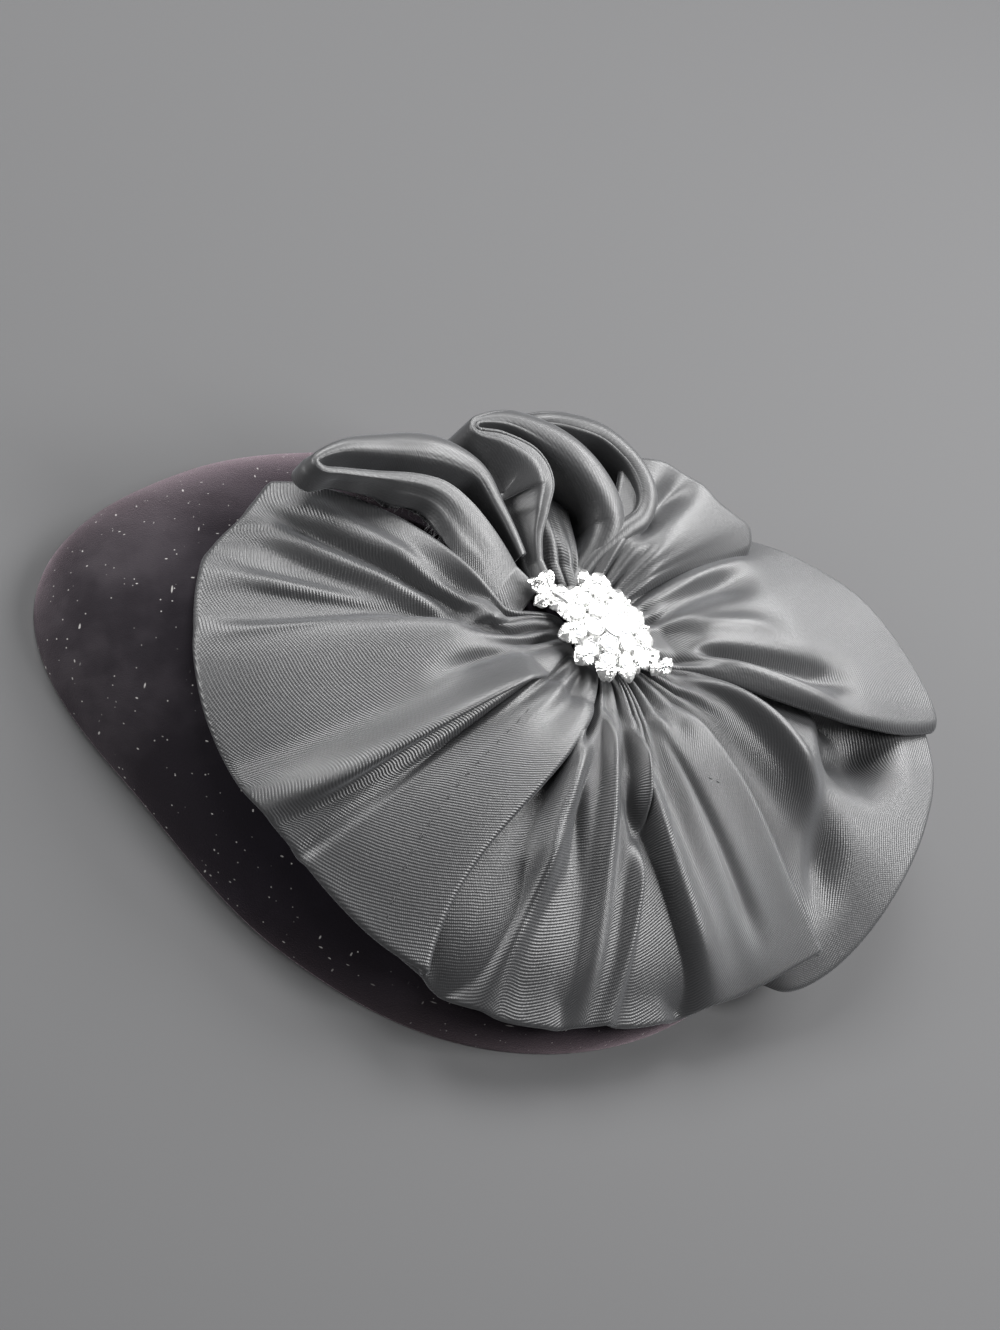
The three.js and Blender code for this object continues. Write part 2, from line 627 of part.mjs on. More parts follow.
// The cluster's plate: a low dome with a flat underside
function plateSolid() {
  const sides = 20;
  const rings = [1, 0.72, 0.4];
  const points = [];
  const [x0, y0] = [CLUSTER_X * BROOCH_LENGTH, CLUSTER_Y * BROOCH_LENGTH];
  const ring = (share, z) => {
    for (let k = 0; k < sides; k += 1) {
      const angle = 2 * Math.PI * k / sides;
      const radius = CLUSTER_RADIUS * BROOCH_LENGTH * share;
      const [x, y] = [x0 + radius * Math.cos(angle), y0 + radius * Math.sin(angle)];
      points.push([x, y, z ?? broochTop(x, y)]);
    }
  };
  ring(1, BROOCH_Z);
  rings.forEach((share) => ring(share));
  points.push([x0, y0, BROOCH_Z], [x0, y0, broochTop(x0, y0)]);
  const faces = [];
  const [under, peak] = [points.length - 2, points.length - 1];
  for (let k = 0; k < sides; k += 1) {
    const next = (k + 1) % sides;
    faces.push([under, next, k]);
    for (let level = 0; level < rings.length; level += 1) {
      const [a, b] = [level * sides + k, level * sides + next];
      faces.push([a, b, b + sides], [a, b + sides, a + sides]);
    }
    faces.push([rings.length * sides + k, rings.length * sides + next, peak]);
  }
  return solidFrom(points, faces);
}

// A brilliant cut: a flat table, eight crown facets and eight half facets, a girdle and a point
function stoneShape(size) {
  const sides = 8;
  const r = size / 2;
  const levels = [
    { radius: 0.56 * r, z: 0.32 * r, turn: 0 },
    { radius: r, z: 0.05 * r, turn: 0.5 },
    { radius: r, z: -0.05 * r, turn: 0.5 },
  ];
  const points = [];
  for (const { radius, z, turn } of levels) {
    for (let k = 0; k < sides; k += 1) {
      const angle = 2 * Math.PI * (k + turn) / sides;
      points.push([radius * Math.cos(angle), radius * Math.sin(angle), z]);
    }
  }
  points.push([0, 0, -0.75 * r]);
  const faces = [];
  for (let k = 0; k < sides; k += 1) {
    const next = (k + 1) % sides;
    if (k > 0 && k < sides - 1) faces.push([0, k, k + 1]);
    faces.push([k, sides + k, next], [next, sides + k, sides + next]);
    faces.push([sides + k, 2 * sides + k, 2 * sides + next]);
    faces.push([sides + k, 2 * sides + next, sides + next]);
    faces.push([2 * sides + k, 3 * sides, 2 * sides + next]);
  }
  return { points, faces };
}

// Where each stone sits: its place, size and the way its table faces
function stoneSeats() {
  const seats = [];
  const add = (x, y, size, spread) => {
    const [x0, y0] = [CLUSTER_X * BROOCH_LENGTH, CLUSTER_Y * BROOCH_LENGTH];
    const facing = new THREE.Vector3((x - x0) * spread, (y - y0) * spread, BROOCH_LENGTH / 2);
    const position = new THREE.Vector3(x, y, broochTop(x, y) + STONE_RISE * size);
    seats.push({ position, size, facing: facing.normalize() });
  };
  for (const { count, ring, size, first } of STONE_RINGS) {
    for (let k = 0; k < count; k += 1) {
      const angle = radians(first + 360 * k / count);
      const x = (CLUSTER_X + ring * Math.cos(angle)) * BROOCH_LENGTH;
      const y = (CLUSTER_Y + ring * Math.sin(angle)) * BROOCH_LENGTH;
      add(x, y, size, 0.9);
    }
  }
  for (const [x, y] of SPRAY_STONES) add(x * BROOCH_LENGTH, y * BROOCH_LENGTH, STONE_SPRAY, 0.1);
  return seats;
}

const SEATS = stoneSeats();
const UP = new THREE.Vector3(0, 0, 1);
const seatMatrix = ({ position, facing }) => new THREE.Matrix4().compose(
  position, new THREE.Quaternion().setFromUnitVectors(UP, facing), new THREE.Vector3(1, 1, 1));
const placed = (points, matrix) =>
  points.map((p) => new THREE.Vector3(...p).applyMatrix4(matrix).toArray());

// The pocket that a stone sits in: the stone's lower half grown by the clearance, open upwards
function pocketSolid(seat) {
  const r = seat.size / 2 + CLEARANCE;
  const sides = 8;
  const points = [[0, 0, -0.75 * r], [0, 0, seat.size]];
  for (const z of [-0.05 * r, seat.size]) {
    for (let k = 0; k < sides; k += 1) {
      const angle = 2 * Math.PI * (k + 0.5) / sides;
      points.push([r * Math.cos(angle), r * Math.sin(angle), z]);
    }
  }
  const faces = [];
  for (let k = 0; k < sides; k += 1) {
    const [a, b] = [2 + k, 2 + (k + 1) % sides];
    faces.push([0, b, a], [a, b, b + sides], [a, b + sides, a + sides], [1, a + sides, b + sides]);
  }
  return solidFrom(placed(points, seatMatrix(seat)), faces);
}

function settingSolid() {
  let solid = plateSolid();
  for (const leaf of LEAVES) solid = solid.add(leafSolid(leaf));
  for (const [x0, y0, x1, y1, width] of STEMS) {
    const [dx, dy] = [x1 - x0, y1 - y0];
    const k = width / 2 / Math.hypot(dx, dy);
    const [a, b] = [-dy * k, dx * k];
    const outline = [[x0 - a, y0 - b], [x1 - a, y1 - b], [x1 + a, y1 + b], [x0 + a, y0 + b]]
      .map(([x, y]) => [x * BROOCH_LENGTH, y * BROOCH_LENGTH]);
    solid = solid.add(slab(outline, BROOCH_Z, BROOCH_Z + BROOCH_PLATE * 1.3));
  }
  for (const seat of SEATS) solid = solid.subtract(pocketSolid(seat));
  return biggest(solid);
}

// The pin runs from just above the crown to just under the plate, through the open gather
function pinSolid() {
  const foot = crownHeight(GATHER_X, GATHER_Y) + CLEARANCE;
  const sides = 16;
  const outline = Array.from({ length: sides }, (_, k) => [
    PIN_RADIUS * Math.cos(2 * Math.PI * k / sides),
    PIN_RADIUS * Math.sin(2 * Math.PI * k / sides),
  ]);
  return slab(outline, foot, BROOCH_Z - CLEARANCE);
}

// Finishes
const finish = (name, color, roughness, metalness) =>
  new THREE.MeshStandardMaterial({ name, color, roughness, metalness });
const VELVET = finish('velvet', 0x0b0a0c, 0.95, 0);
const SATIN = finish('satin', 0x2b2c2f, 0.42, 0);
const SILVER = finish('silver', 0xd8d8d6, 0.25, 1);
const CRYSTAL = finish('crystal', 0xf4f6f8, 0.05, 0);

// A named mesh from a solid or from points and faces
function meshOf(name, points, faces, material) {
  const geometry = new THREE.BufferGeometry();
  geometry.setAttribute('position', new THREE.BufferAttribute(new Float32Array(points.flat()), 3));
  geometry.setIndex(faces.flat());
  geometry.computeVertexNormals();
  const mesh = new THREE.Mesh(geometry, material);
  mesh.name = name;
  return mesh;
}

function meshOfSolid(name, solid, material) {
  const { vertProperties, triVerts, numProp } = solid.getMesh();
  const points = [];
  for (let k = 0; k < vertProperties.length; k += numProp) {
    points.push([vertProperties[k], vertProperties[k + 1], vertProperties[k + 2]]);
  }
  const faces = [];
  for (let k = 0; k < triVerts.length; k += 3) {
    faces.push([triVerts[k], triVerts[k + 1], triVerts[k + 2]]);
  }
  return meshOf(name, points, faces, material);
}

// The hat, with the brooch in a group of its own on the gather
const hat = new THREE.Group();
hat.add(meshOfSolid('crown', crownSolid(), VELVET));
for (const { name, solid } of ribbonSolids()) hat.add(meshOfSolid(name, solid, SATIN));

const brooch = new THREE.Group();
brooch.position.set(GATHER_X, GATHER_Y, 0);
brooch.add(meshOfSolid('brooch_setting', settingSolid(), SILVER));
brooch.add(meshOfSolid('brooch_pin', pinSolid(), SILVER));
SEATS.forEach((seat, k) => {
  const { points, faces } = stoneShape(seat.size);
  const stone = meshOf(`brooch_stone_${String(k + 1).padStart(2, '0')}`, points, faces, CRYSTAL);
  stone.position.copy(seat.position);
  stone.quaternion.setFromUnitVectors(UP, seat.facing);
  brooch.add(stone);
});
hat.add(brooch);

// The whole is moved so that its origin is under the middle of its plan, on the surface it rests on
const extent = new THREE.Box3().setFromObject(hat);
const middle = extent.getCenter(new THREE.Vector3());
hat.position.set(-middle.x, -middle.y, 0);

export default hat;
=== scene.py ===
"""Looks of a shallow black velvet hat with a gathered satin ribbon rosette and a jewelled brooch.

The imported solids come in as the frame. Cloth, stones, finishes and stage are made over them here.
Metres, +Z up. The hat's own middle, which its curves are drawn about, is found from the brooch's pin.
"""

import math

import bpy
import numpy as np
from bpy.props import FloatProperty, FloatVectorProperty, PointerProperty
from mathutils import Matrix, Vector


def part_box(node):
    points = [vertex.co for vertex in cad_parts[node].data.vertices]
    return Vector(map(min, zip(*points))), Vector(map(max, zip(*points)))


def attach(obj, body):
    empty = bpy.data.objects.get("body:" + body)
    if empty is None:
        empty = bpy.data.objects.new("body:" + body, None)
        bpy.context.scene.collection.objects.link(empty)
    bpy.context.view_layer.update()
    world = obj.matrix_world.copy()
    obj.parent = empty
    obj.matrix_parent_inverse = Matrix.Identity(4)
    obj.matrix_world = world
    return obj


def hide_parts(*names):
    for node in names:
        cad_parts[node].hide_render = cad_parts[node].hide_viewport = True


bl_info = {
    "name": "Cocktail hat",
    "version": (1, 0, 0),
    "blender": (4, 5, 0),
    "location": "3D View > Sidebar > Hat",
    "description": "Velvet hat with a gathered satin ribbon rosette and a jewelled brooch",
    "category": "Object",
}

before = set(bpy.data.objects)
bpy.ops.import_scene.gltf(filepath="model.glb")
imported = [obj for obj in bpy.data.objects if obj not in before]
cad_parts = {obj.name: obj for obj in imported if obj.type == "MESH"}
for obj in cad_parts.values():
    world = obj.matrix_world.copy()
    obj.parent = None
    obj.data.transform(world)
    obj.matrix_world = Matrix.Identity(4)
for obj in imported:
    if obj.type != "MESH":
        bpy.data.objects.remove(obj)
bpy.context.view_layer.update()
PIN_LOW, PIN_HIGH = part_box("brooch_pin")
GATHER = ((PIN_LOW[0] + PIN_HIGH[0]) / 2, (PIN_LOW[1] + PIN_HIGH[1]) / 2)
STONES = [f"brooch_stone_{k:02d}" for k in range(1, 25)]


# Sizes and colours


def length(name, description, default):
    made = {"name": name, "description": description, "default": default}
    return FloatProperty(**made, unit="LENGTH", precision=4)


def colour(name, description, default):
    return FloatVectorProperty(
        name=name, description=description, default=default, size=3, min=0, max=1, subtype="COLOR"
    )


class HatSizes(bpy.types.PropertyGroup):
    crown_length: length("Crown length", "Length of the oval that the crown is drawn on", 0.208)
    crown_width: length("Crown width", "Width of the oval that the crown is drawn on", 0.165)
    crown_height: length("Crown height", "Height of the crown above its rim", 0.042)
    crown_wall: length("Crown wall", "Thickness of the velvet and its base", 0.0024)
    gather_across: length("Gather across", "Place of the gather along the hat, from its middle", 0.015)
    gather_along: length("Gather along", "Place of the gather across the hat, from its middle", 0.003)
    gather_radius: length("Gather radius", "Radius at which the ribbon leaves the gather", 0.0035)
    reach: length("Rosette reach", "Usual distance from the gather to the hems", 0.095)
    ribbon_wall: length("Ribbon wall", "Thickness that each stretch of ribbon has as a solid", 0.0014)
    loop_wall: length("Loop wall", "Thickness that each loop has as a solid", 0.0011)
    cloth: length("Cloth", "Thickness of one layer of the satin", 0.0006)
    clearance: length("Clearance", "Smallest gap between two pieces", 0.0003)


class BroochSizes(bpy.types.PropertyGroup):
    length: length("Brooch length", "Length of the whole spray", 0.0385)
    lift: length("Lift", "Height of the setting's underside above the cloth's seat", 0.007)
    plate: length("Plate", "Thickness of the plate and leaves", 0.0012)
    dome: length("Dome", "Height of the cluster's dome", 0.0034)
    bearing: FloatProperty(name="Bearing", description="Way it lies, in degrees", default=-18)
    stone_centre: length("Centre stone", "Width of the centre stone", 0.0055)
    stone_inner: length("Inner stones", "Width of the stones round the centre one", 0.0038)
    stone_outer: length("Outer stones", "Width of the cluster's outer stones", 0.0031)
    stone_spray: length("Spray stones", "Width of the stones on the spray", 0.0028)


class HatColours(bpy.types.PropertyGroup):
    velvet: colour("Velvet", "Depth of the velvet's pile", (0.0035, 0.003, 0.0045))
    nap: colour("Nap", "Pile seen from its side", (0.34, 0.27, 0.30))
    # Painted sheen: a lighter pile colour laid on the velvet towards the left tip
    painted_tip_sheen: colour("Brushed", "Pile brushed up towards the tip", (0.044, 0.039, 0.043))
    lint: colour("Lint", "Dust and lint on the velvet", (0.36, 0.35, 0.34))
    satin: colour("Satin", "Black satin twill", (0.016, 0.0162, 0.0172))
    thread: colour("Thread", "Stitches and loose threads", (0.012, 0.012, 0.013))
    silver: colour("Silver", "Polished silver-coloured metal", (0.92, 0.92, 0.91))
    stone: colour("Stone", "Foil-backed clear stones", (0.97, 0.98, 1.0))
    floor: colour("Floor", "Plain grey floor", (0.085, 0.085, 0.087))


# Curves and shares


def smooth_step(value, low, high):
    """Rises from 0 at low to 1 at high, level at both ends."""
    t = np.clip((value - low) / (high - low), 0, 1)
    return t * t * (3 - 2 * t)


def blend_four(p0, p1, p2, p3, f):
    """Catmull-Rom: passes through p1 at f = 0 and p2 at f = 1, with the neighbours' slopes."""
    square = (2 * p0 - 5 * p1 + 4 * p2 - p3) * f * f
    cube = (3 * p1 - p0 - 3 * p2 + p3) * f**3
    return 0.5 * (2 * p1 + (p2 - p0) * f + square + cube)


def closed_curve(values, turns):
    """Smooth curve through evenly spaced values that meets itself after one turn."""
    v = np.asarray(values, float)
    n = len(v)
    x = np.mod(turns, 1.0) * n
    i = np.floor(x).astype(int)
    return blend_four(v[(i - 1) % n], v[i % n], v[(i + 1) % n], v[(i + 2) % n], x - i)


def open_curve(values, share):
    """Smooth curve through evenly spaced values from share 0 to share 1. A table of values gives one
    curve for each of its rows."""
    v = np.asarray(values, float)
    n = v.shape[-1]
    x = np.clip(share, 0, 1) * (n - 1)
    i = np.minimum(np.floor(x).astype(int), n - 2)
    p1, p2 = v[..., i], v[..., i + 1]
    before = np.where(i > 0, v[..., np.maximum(i - 1, 0)], 2 * p1 - p2)
    after = np.where(i < n - 2, v[..., np.minimum(i + 2, n - 1)], 2 * p2 - p1)
    return blend_four(before, p1, p2, after, x - i)


def cos_sin(bearing):
    """Cosine and sine of a bearing in degrees."""
    return np.cos(np.radians(bearing)), np.sin(np.radians(bearing))


def unit(vectors):
    return vectors / np.maximum(np.linalg.norm(vectors, axis=-1, keepdims=True), 1e-12)


def upward_normals(points):
    """One for each point of a grid, along u times along v, turned upwards."""
    normal = unit(np.cross(np.gradient(points, axis=0), np.gradient(points, axis=1)))
    return np.where(normal[..., 2:] < 0, -normal, normal)


def run_lengths(points, axis):
    """Length along each line of a grid from its first point, in the way of one axis."""
    steps = np.linalg.norm(np.diff(points, axis=axis), axis=-1)
    zero = np.zeros_like(np.take(steps, [0], axis=axis))
    return np.concatenate([zero, np.cumsum(steps, axis=axis)], axis=axis)


# Meshes


def to_row(points):
    """From the hat's own middle to the frame's origin."""
    sizes = bpy.context.scene.hat_sizes
    move = (GATHER[0] - sizes.gather_across, GATHER[1] - sizes.gather_along, 0)
    return np.asarray(points, float) + move


def from_gather(sizes, x, y, z):
    """Points whose x and y are measured from the gather, in the hat's own middle."""
    return np.stack(np.broadcast_arrays(x + sizes.gather_across, y + sizes.gather_along, z), -1)


def surface_mesh(name, points, wrap=False, poles=(False, False), uv=None, smooth=True):
    """One object from grids of points u by v. Each grid may wrap round in u and close to a single
    point at either end of v. Corner order u, u + 1, then v + 1, so faces point along du times dv."""
    grids = points if isinstance(points, list) else [points]
    all_points, all_faces, loops, first = [], [], [], 0
    for grid in grids:
        nu, nv = grid.shape[:2]
        index = first + np.arange(nu * nv).reshape(nu, nv)
        if poles[0]:
            index[:, 0] = index[0, 0]
        if poles[1]:
            index[:, -1] = index[0, -1]
        rows = np.arange(nu if wrap else nu - 1)
        after = (rows + 1) % nu
        a, b = index[rows][:, :-1], index[after][:, :-1]
        c, d = index[after][:, 1:], index[rows][:, 1:]
        quads = np.stack([a, b, c, d], -1)
        low, high = (1 if poles[0] else 0), (nv - 2 if poles[1] else nv - 1)
        all_faces += quads[:, low:high].reshape(-1, 4).tolist()
        if poles[0]:
            all_faces += quads[:, 0][:, [0, 2, 3]].tolist()
        if poles[1]:
            all_faces += quads[:, -1][:, [0, 1, 2]].tolist()
        all_points.append(grid.reshape(-1, 3))
        first += nu * nv
    stacked = np.concatenate(all_points)
    if any(poles):
        used = sorted({k for face in all_faces for k in face})
        place = {old: new for new, old in enumerate(used)}
        stacked, all_faces = stacked[used], [[place[k] for k in face] for face in all_faces]
    mesh = bpy.data.meshes.new(name)
    mesh.from_pydata(to_row(stacked).tolist(), [], all_faces)
    mesh.polygons.foreach_set("use_smooth", [smooth] * len(mesh.polygons))
    if uv is not None:
        corner = np.zeros(len(mesh.loops), int)
        mesh.loops.foreach_get("vertex_index", corner)
        layer = mesh.uv_layers.new(name="cloth")
        layer.data.foreach_set("uv", uv.reshape(-1, 2)[corner].ravel())
    mesh.validate()
    obj = bpy.data.objects.new(name, mesh)
    bpy.context.scene.collection.objects.link(obj)
    return obj


def tube_grids(paths, radius, sides=5):
    """A tube for each path of points: rings of the radius across the path, tapered at both ends."""
    grids = []
    for path in paths:
        way = unit(np.gradient(path, axis=0))
        side = unit(np.cross(way, np.where(np.abs(way[:, 2:]) > 0.9, [1.0, 0, 0], [0, 0, 1.0])))
        over = np.cross(way, side)
        turn = np.linspace(0, 2 * np.pi, sides, endpoint=False)[:, None, None]
        taper = np.sin(np.linspace(0, np.pi, len(path)))[None, :, None] ** 0.3
        ring = side[None] * np.cos(turn) + over[None] * np.sin(turn)
        grids.append(path[None] + ring * radius * taper)
    return grids


def thicken(obj, thickness):
    """Gives a surface a wall, half of it on each side."""
    wall = obj.modifiers.new("cloth", "SOLIDIFY")
    wall.thickness = thickness
    wall.offset = 0
    wall.use_even_offset = False


def dress(obj, material, slot, *nodes):
    """Gives a piece its finish and body, and hides the nodes that it stands for. Its slot is not used.
    """
    obj.data.materials.clear()
    obj.data.materials.append(material)
    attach(obj, "root")
    if nodes:
        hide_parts(*nodes)
    return obj


# Finishes

# Distance between the satin's diagonal ribs, and between the finer ribs across them
TWILL_PITCH = 0.0007
CROSS_PITCH = 0.00042


class Value:
    """A socket with arithmetic: an expression on values adds its Math nodes to the material."""

    def __init__(self, finish, socket):
        self.finish = finish
        self.socket = socket

    def maths(self, operation, *inputs):
        node = self.finish.tree.nodes.new("ShaderNodeMath")
        node.operation = operation
        for k, value in enumerate(inputs):
            self.finish.feed(node.inputs[k], value)
        return Value(self.finish, node.outputs[0])

    def __add__(self, other):
        return self.maths("ADD", self, other)

    def __sub__(self, other):
        return self.maths("SUBTRACT", self, other)

    def __mul__(self, other):
        return self.maths("MULTIPLY", self, other)

    def __rsub__(self, other):
        return self.maths("SUBTRACT", other, self)

    __radd__ = __add__
    __rmul__ = __mul__

    def sine(self):
        return self.maths("SINE", self)

    def ramp(self, low, high):
        """0 below low, 1 above high, smooth in between."""
        node = self.finish.tree.nodes.new("ShaderNodeMapRange")
        node.interpolation_type = "SMOOTHSTEP"
        self.finish.feed(node.inputs["Value"], self)
        node.inputs["From Min"].default_value = low
        node.inputs["From Max"].default_value = high
        return Value(self.finish, node.outputs[0])


class Finish:
    """One material, its shader and the nodes that feed it."""

    def __init__(self, name, **constants):
        self.material = bpy.data.materials.new(f"{name} finish")
        self.material.use_nodes = True
        self.tree = self.material.node_tree
        self.shader = self.tree.nodes["Principled BSDF"]
        for socket, value in constants.items():
            socket = socket.replace("_", " ").title().replace("Ior", "IOR")
            if hasattr(value, "__len__") and len(value) == 3:
                value = (*value, 1)
            self.shader.inputs[socket].default_value = value

    def feed(self, socket, value):
        if isinstance(value, Value):
            self.tree.links.new(value.socket, socket)
        elif hasattr(value, "__len__") and len(value) == 3 and socket.type == "RGBA":
            socket.default_value = (*value, 1)
        else:
            socket.default_value = value

    def node(self, kind, output=0, settings=(), **sockets):
        """Any node by its type: settings first, then values or links of its sockets."""
        made = self.tree.nodes.new("ShaderNode" + kind)
        for setting, value in dict(settings).items():
            setattr(made, setting, value)
        for name, value in sockets.items():
            self.feed(made.inputs[name.replace("_", " ")], value)
        return Value(self, made.outputs[output])

    def place(self):
        """Place in the object, in metres."""
        return self.node("TexCoord", "Object")

    def cloth(self):
        """Place along and across the ribbon, in metres."""
        return self.node("UVMap", 0, {"uv_map": "cloth"})

    def parts(self, vector):
        made = self.tree.nodes.new("ShaderNodeSeparateXYZ")
        self.feed(made.inputs[0], vector)
        return [Value(self, made.outputs[k]) for k in range(3)]

    def noise(self, vector, scale, detail=3.0, roughness=0.5):
        sockets = {"Vector": vector, "Scale": scale, "Detail": detail, "Roughness": roughness}
        return self.node("TexNoise", "Fac", {}, **sockets)

    def specks(self, vector, scale, inside, outside, above):
        """1 on small spots in a few cells of a random pattern, 0 between them."""
        sockets = {"Vector": vector, "Scale": scale, "Randomness": 1.0}
        near = self.node("TexVoronoi", "Distance", {"feature": "F1"}, **sockets)
        cell = self.node("TexVoronoi", "Color", {"feature": "F1"}, **sockets)
        return (1.0 - near.ramp(inside, outside)) * self.parts(cell)[0].ramp(above, above + 0.005)

    def mix(self, factor, first, second):
        made = self.tree.nodes.new("ShaderNodeMix")
        made.data_type = "RGBA"
        self.feed(made.inputs[0], factor)
        self.feed(made.inputs[6], first)
        self.feed(made.inputs[7], second)
        return Value(self, made.outputs[2])

    def bump(self, height, distance, strength=1.0):
        return self.node("Bump", 0, {}, Height=height, Distance=distance, Strength=strength)

    def finish(self, **sockets):
        for name, value in sockets.items():
            self.feed(self.shader.inputs[name.replace("_", " ")], value)
        return self.material


def velvet_finish(colours):
    """Deep pile: almost black face on, a dull warm sheen at grazing angles, lighter patches of pile, a
    painted sheen that lightens the pile towards the left tip, a fine grain and scattered lint."""
    f = Finish(
        "velvet", roughness=0.9, specular_ior_level=0.06, sheen_weight=1.0, sheen_roughness=0.4,
        sheen_tint=tuple(colours.nap),
    )
    at = f.place()
    patches = f.noise(at, 38.0, 4.0, 0.6).ramp(0.38, 0.68)
    grain = f.noise(at, 2600.0, 2.0, 0.7)
    warm = tuple(c * 2.6 for c in colours.velvet)
    pile = f.mix(patches * 0.5 + grain * 0.35, tuple(colours.velvet), warm)
    where = f.noise(at, 24.0, 2.0).ramp(0.22, 0.5)
    dust = f.specks(at, 520.0, 0.04, 0.13, 0.62) * where
    for turn, thin in ((0.4, (1, 0.14, 1)), (1.5, (0.16, 1, 1)), (2.3, (1, 0.2, 0.4))):
        turned = f.node("Mapping", 0, {}, Vector=at, Rotation=(0.2, 0.3, turn), Scale=thin)
        dust = dust + f.specks(turned, 700.0, 0.08, 0.17, 0.88) * where
    # Painted sheen: the pile colour is lightened towards the left tip, standing in for the light that
    # the pile catches there
    painted_sheen_to_tip = (f.parts(at)[0] * -1.0).ramp(0.055, 0.125)
    pile = f.mix(painted_sheen_to_tip * (0.35 + patches * 0.65) * 0.8, pile, tuple(colours.painted_tip_sheen))
    base = f.mix(dust * 0.8, pile, tuple(colours.lint))
    normal = f.bump(grain + patches * 0.6, 0.00022, 0.55)
    return f.finish(Base_Color=base, Normal=normal, Roughness=0.86 + grain * 0.12)


def satin_finish(colours):
    """Black satin twill: fine diagonal ribs that catch the light, over finer ribs across them. Both
    fade out in the tight gathers and on the standing loops."""
    f = Finish(
        "satin", specular_ior_level=1.0, sheen_weight=0.16, sheen_roughness=0.45,
        sheen_tint=(0.8, 0.82, 0.86),
    )
    at = f.cloth()
    along, across, _ = f.parts(at)
    waver = f.noise(at, 55.0, 2.0) * 0.0011
    diagonal = (along * 0.45 + across * 0.89 + waver) * (2 * math.pi / TWILL_PITCH)
    rib = diagonal.sine() * 0.5 + 0.5
    cross = (along * 0.89 - across * 0.45) * (2 * math.pi / CROSS_PITCH)
    weave = rib * 0.8 + (cross.sine() * 0.5 + 0.5) * 0.2
    standing = f.parts(f.place())[2].ramp(0.046, 0.053)
    open_cloth = across.ramp(0.004, 0.02) * (1.0 - standing * 0.85)
    fibre = f.noise(at, 900.0, 3.0, 0.6)
    broad = f.noise(f.place(), 22.0, 3.0)
    satin = tuple(colours.satin)
    pale = tuple(c * 1.75 for c in satin)
    base = f.mix(weave * open_cloth * 0.55 + broad * 0.35, satin, pale)
    normal = f.bump(weave * open_cloth + fibre * 0.8, 0.0001, 0.9)
    rough = 0.34 + broad * 0.08 + (1.0 - weave) * 0.1 + fibre * 0.06 + standing * 0.04
    return f.finish(Base_Color=base, Normal=normal, Roughness=rough)


def thread_finish(colours):
    f = Finish("thread", roughness=0.6, sheen_weight=0.3)
    grain = f.noise(f.place(), 3000.0)
    dark = tuple(colours.thread)
    base = f.mix(grain, dark, tuple(c * 4 for c in dark))
    return f.finish(Base_Color=base, Normal=f.bump(grain, 0.00005))


def silver_finish(colours):
    """Polished metal with a fine hand-worked ripple, and darker, duller patches spread at random."""
    f = Finish("silver", metallic=0.9)
    at = f.place()
    ripple = f.noise(at, 700.0, 3.0)
    dull = f.noise(at, 260.0, 4.0, 0.6).ramp(0.42, 0.75)
    bright = tuple(colours.silver)
    base = f.mix(dull * 0.45, bright, tuple(c * 0.62 for c in bright))
    return f.finish(Base_Color=base, Roughness=0.24 + dull * 0.2, Normal=f.bump(ripple, 0.00004, 0.4))


def crystal_finish(colours):
    """Clear cut stones backed with foil, so they return the light like a bright mirror under glass."""
    f = Finish("crystal", metallic=0.25, coat_weight=1.0, coat_roughness=0.02, coat_ior=1.6, ior=1.6)
    at = f.place()
    haze = f.noise(at, 420.0, 2.0)
    clear = tuple(colours.stone)
    base = f.mix(haze.ramp(0.45, 0.7) * 0.3, clear, tuple(c * 0.75 for c in clear))
    return f.finish(Base_Color=base, Roughness=0.06 + haze * 0.05)


def floor_finish(colours):
    f = Finish("floor", roughness=0.75, specular_ior_level=0.25)
    grain = f.noise(f.place(), 3.0, 4.0)
    pale = tuple(colours.floor)
    return f.finish(Base_Color=f.mix(grain, pale, tuple(c * 0.95 for c in pale)))


def finishes():
    """The scene's materials, each made once."""
    colours = bpy.context.scene.hat_colours
    makers = {
        "velvet": velvet_finish, "satin": satin_finish, "thread": thread_finish,
        "silver": silver_finish, "crystal": crystal_finish, "floor": floor_finish,
    }
    made = bpy.data.materials
    return {name: made.get(f"{name} finish") or maker(colours) for name, maker in makers.items()}


# Crown

OUTLINE = [0.99, 1.03, 1.03, 0.933, 0.86, 0.925, 1.03, 0.906, 0.958, 1.03, 1.05, 1.03]
SHOULDER_POWER = 2.6
DOME_POWER = 1.8
SWELL = 0.00022
RIM_LIFT = 0.0002


def outline_radius(sizes, bearing, inset=0.0):
    """Oval of the crown's length and width times the outline's shares, every 30 degrees from +X."""
    a, b = sizes.crown_length / 2, sizes.crown_width / 2
    oval = a * b / np.hypot(b * np.cos(bearing), a * np.sin(bearing))
    return oval * closed_curve(OUTLINE, bearing / (2 * np.pi)) - inset


def dome_height(share, top):
    """Top times one less the share to the shoulder power, all to one over the dome power."""
    return top * np.clip(1 - share**SHOULDER_POWER, 0, None) ** (1 / DOME_POWER)


def crown_height(sizes, x, y):
    share = np.hypot(x, y) / outline_radius(sizes, np.arctan2(y, x))
    return np.where(share < 1, dome_height(np.minimum(share, 1), sizes.crown_height), 0.0)


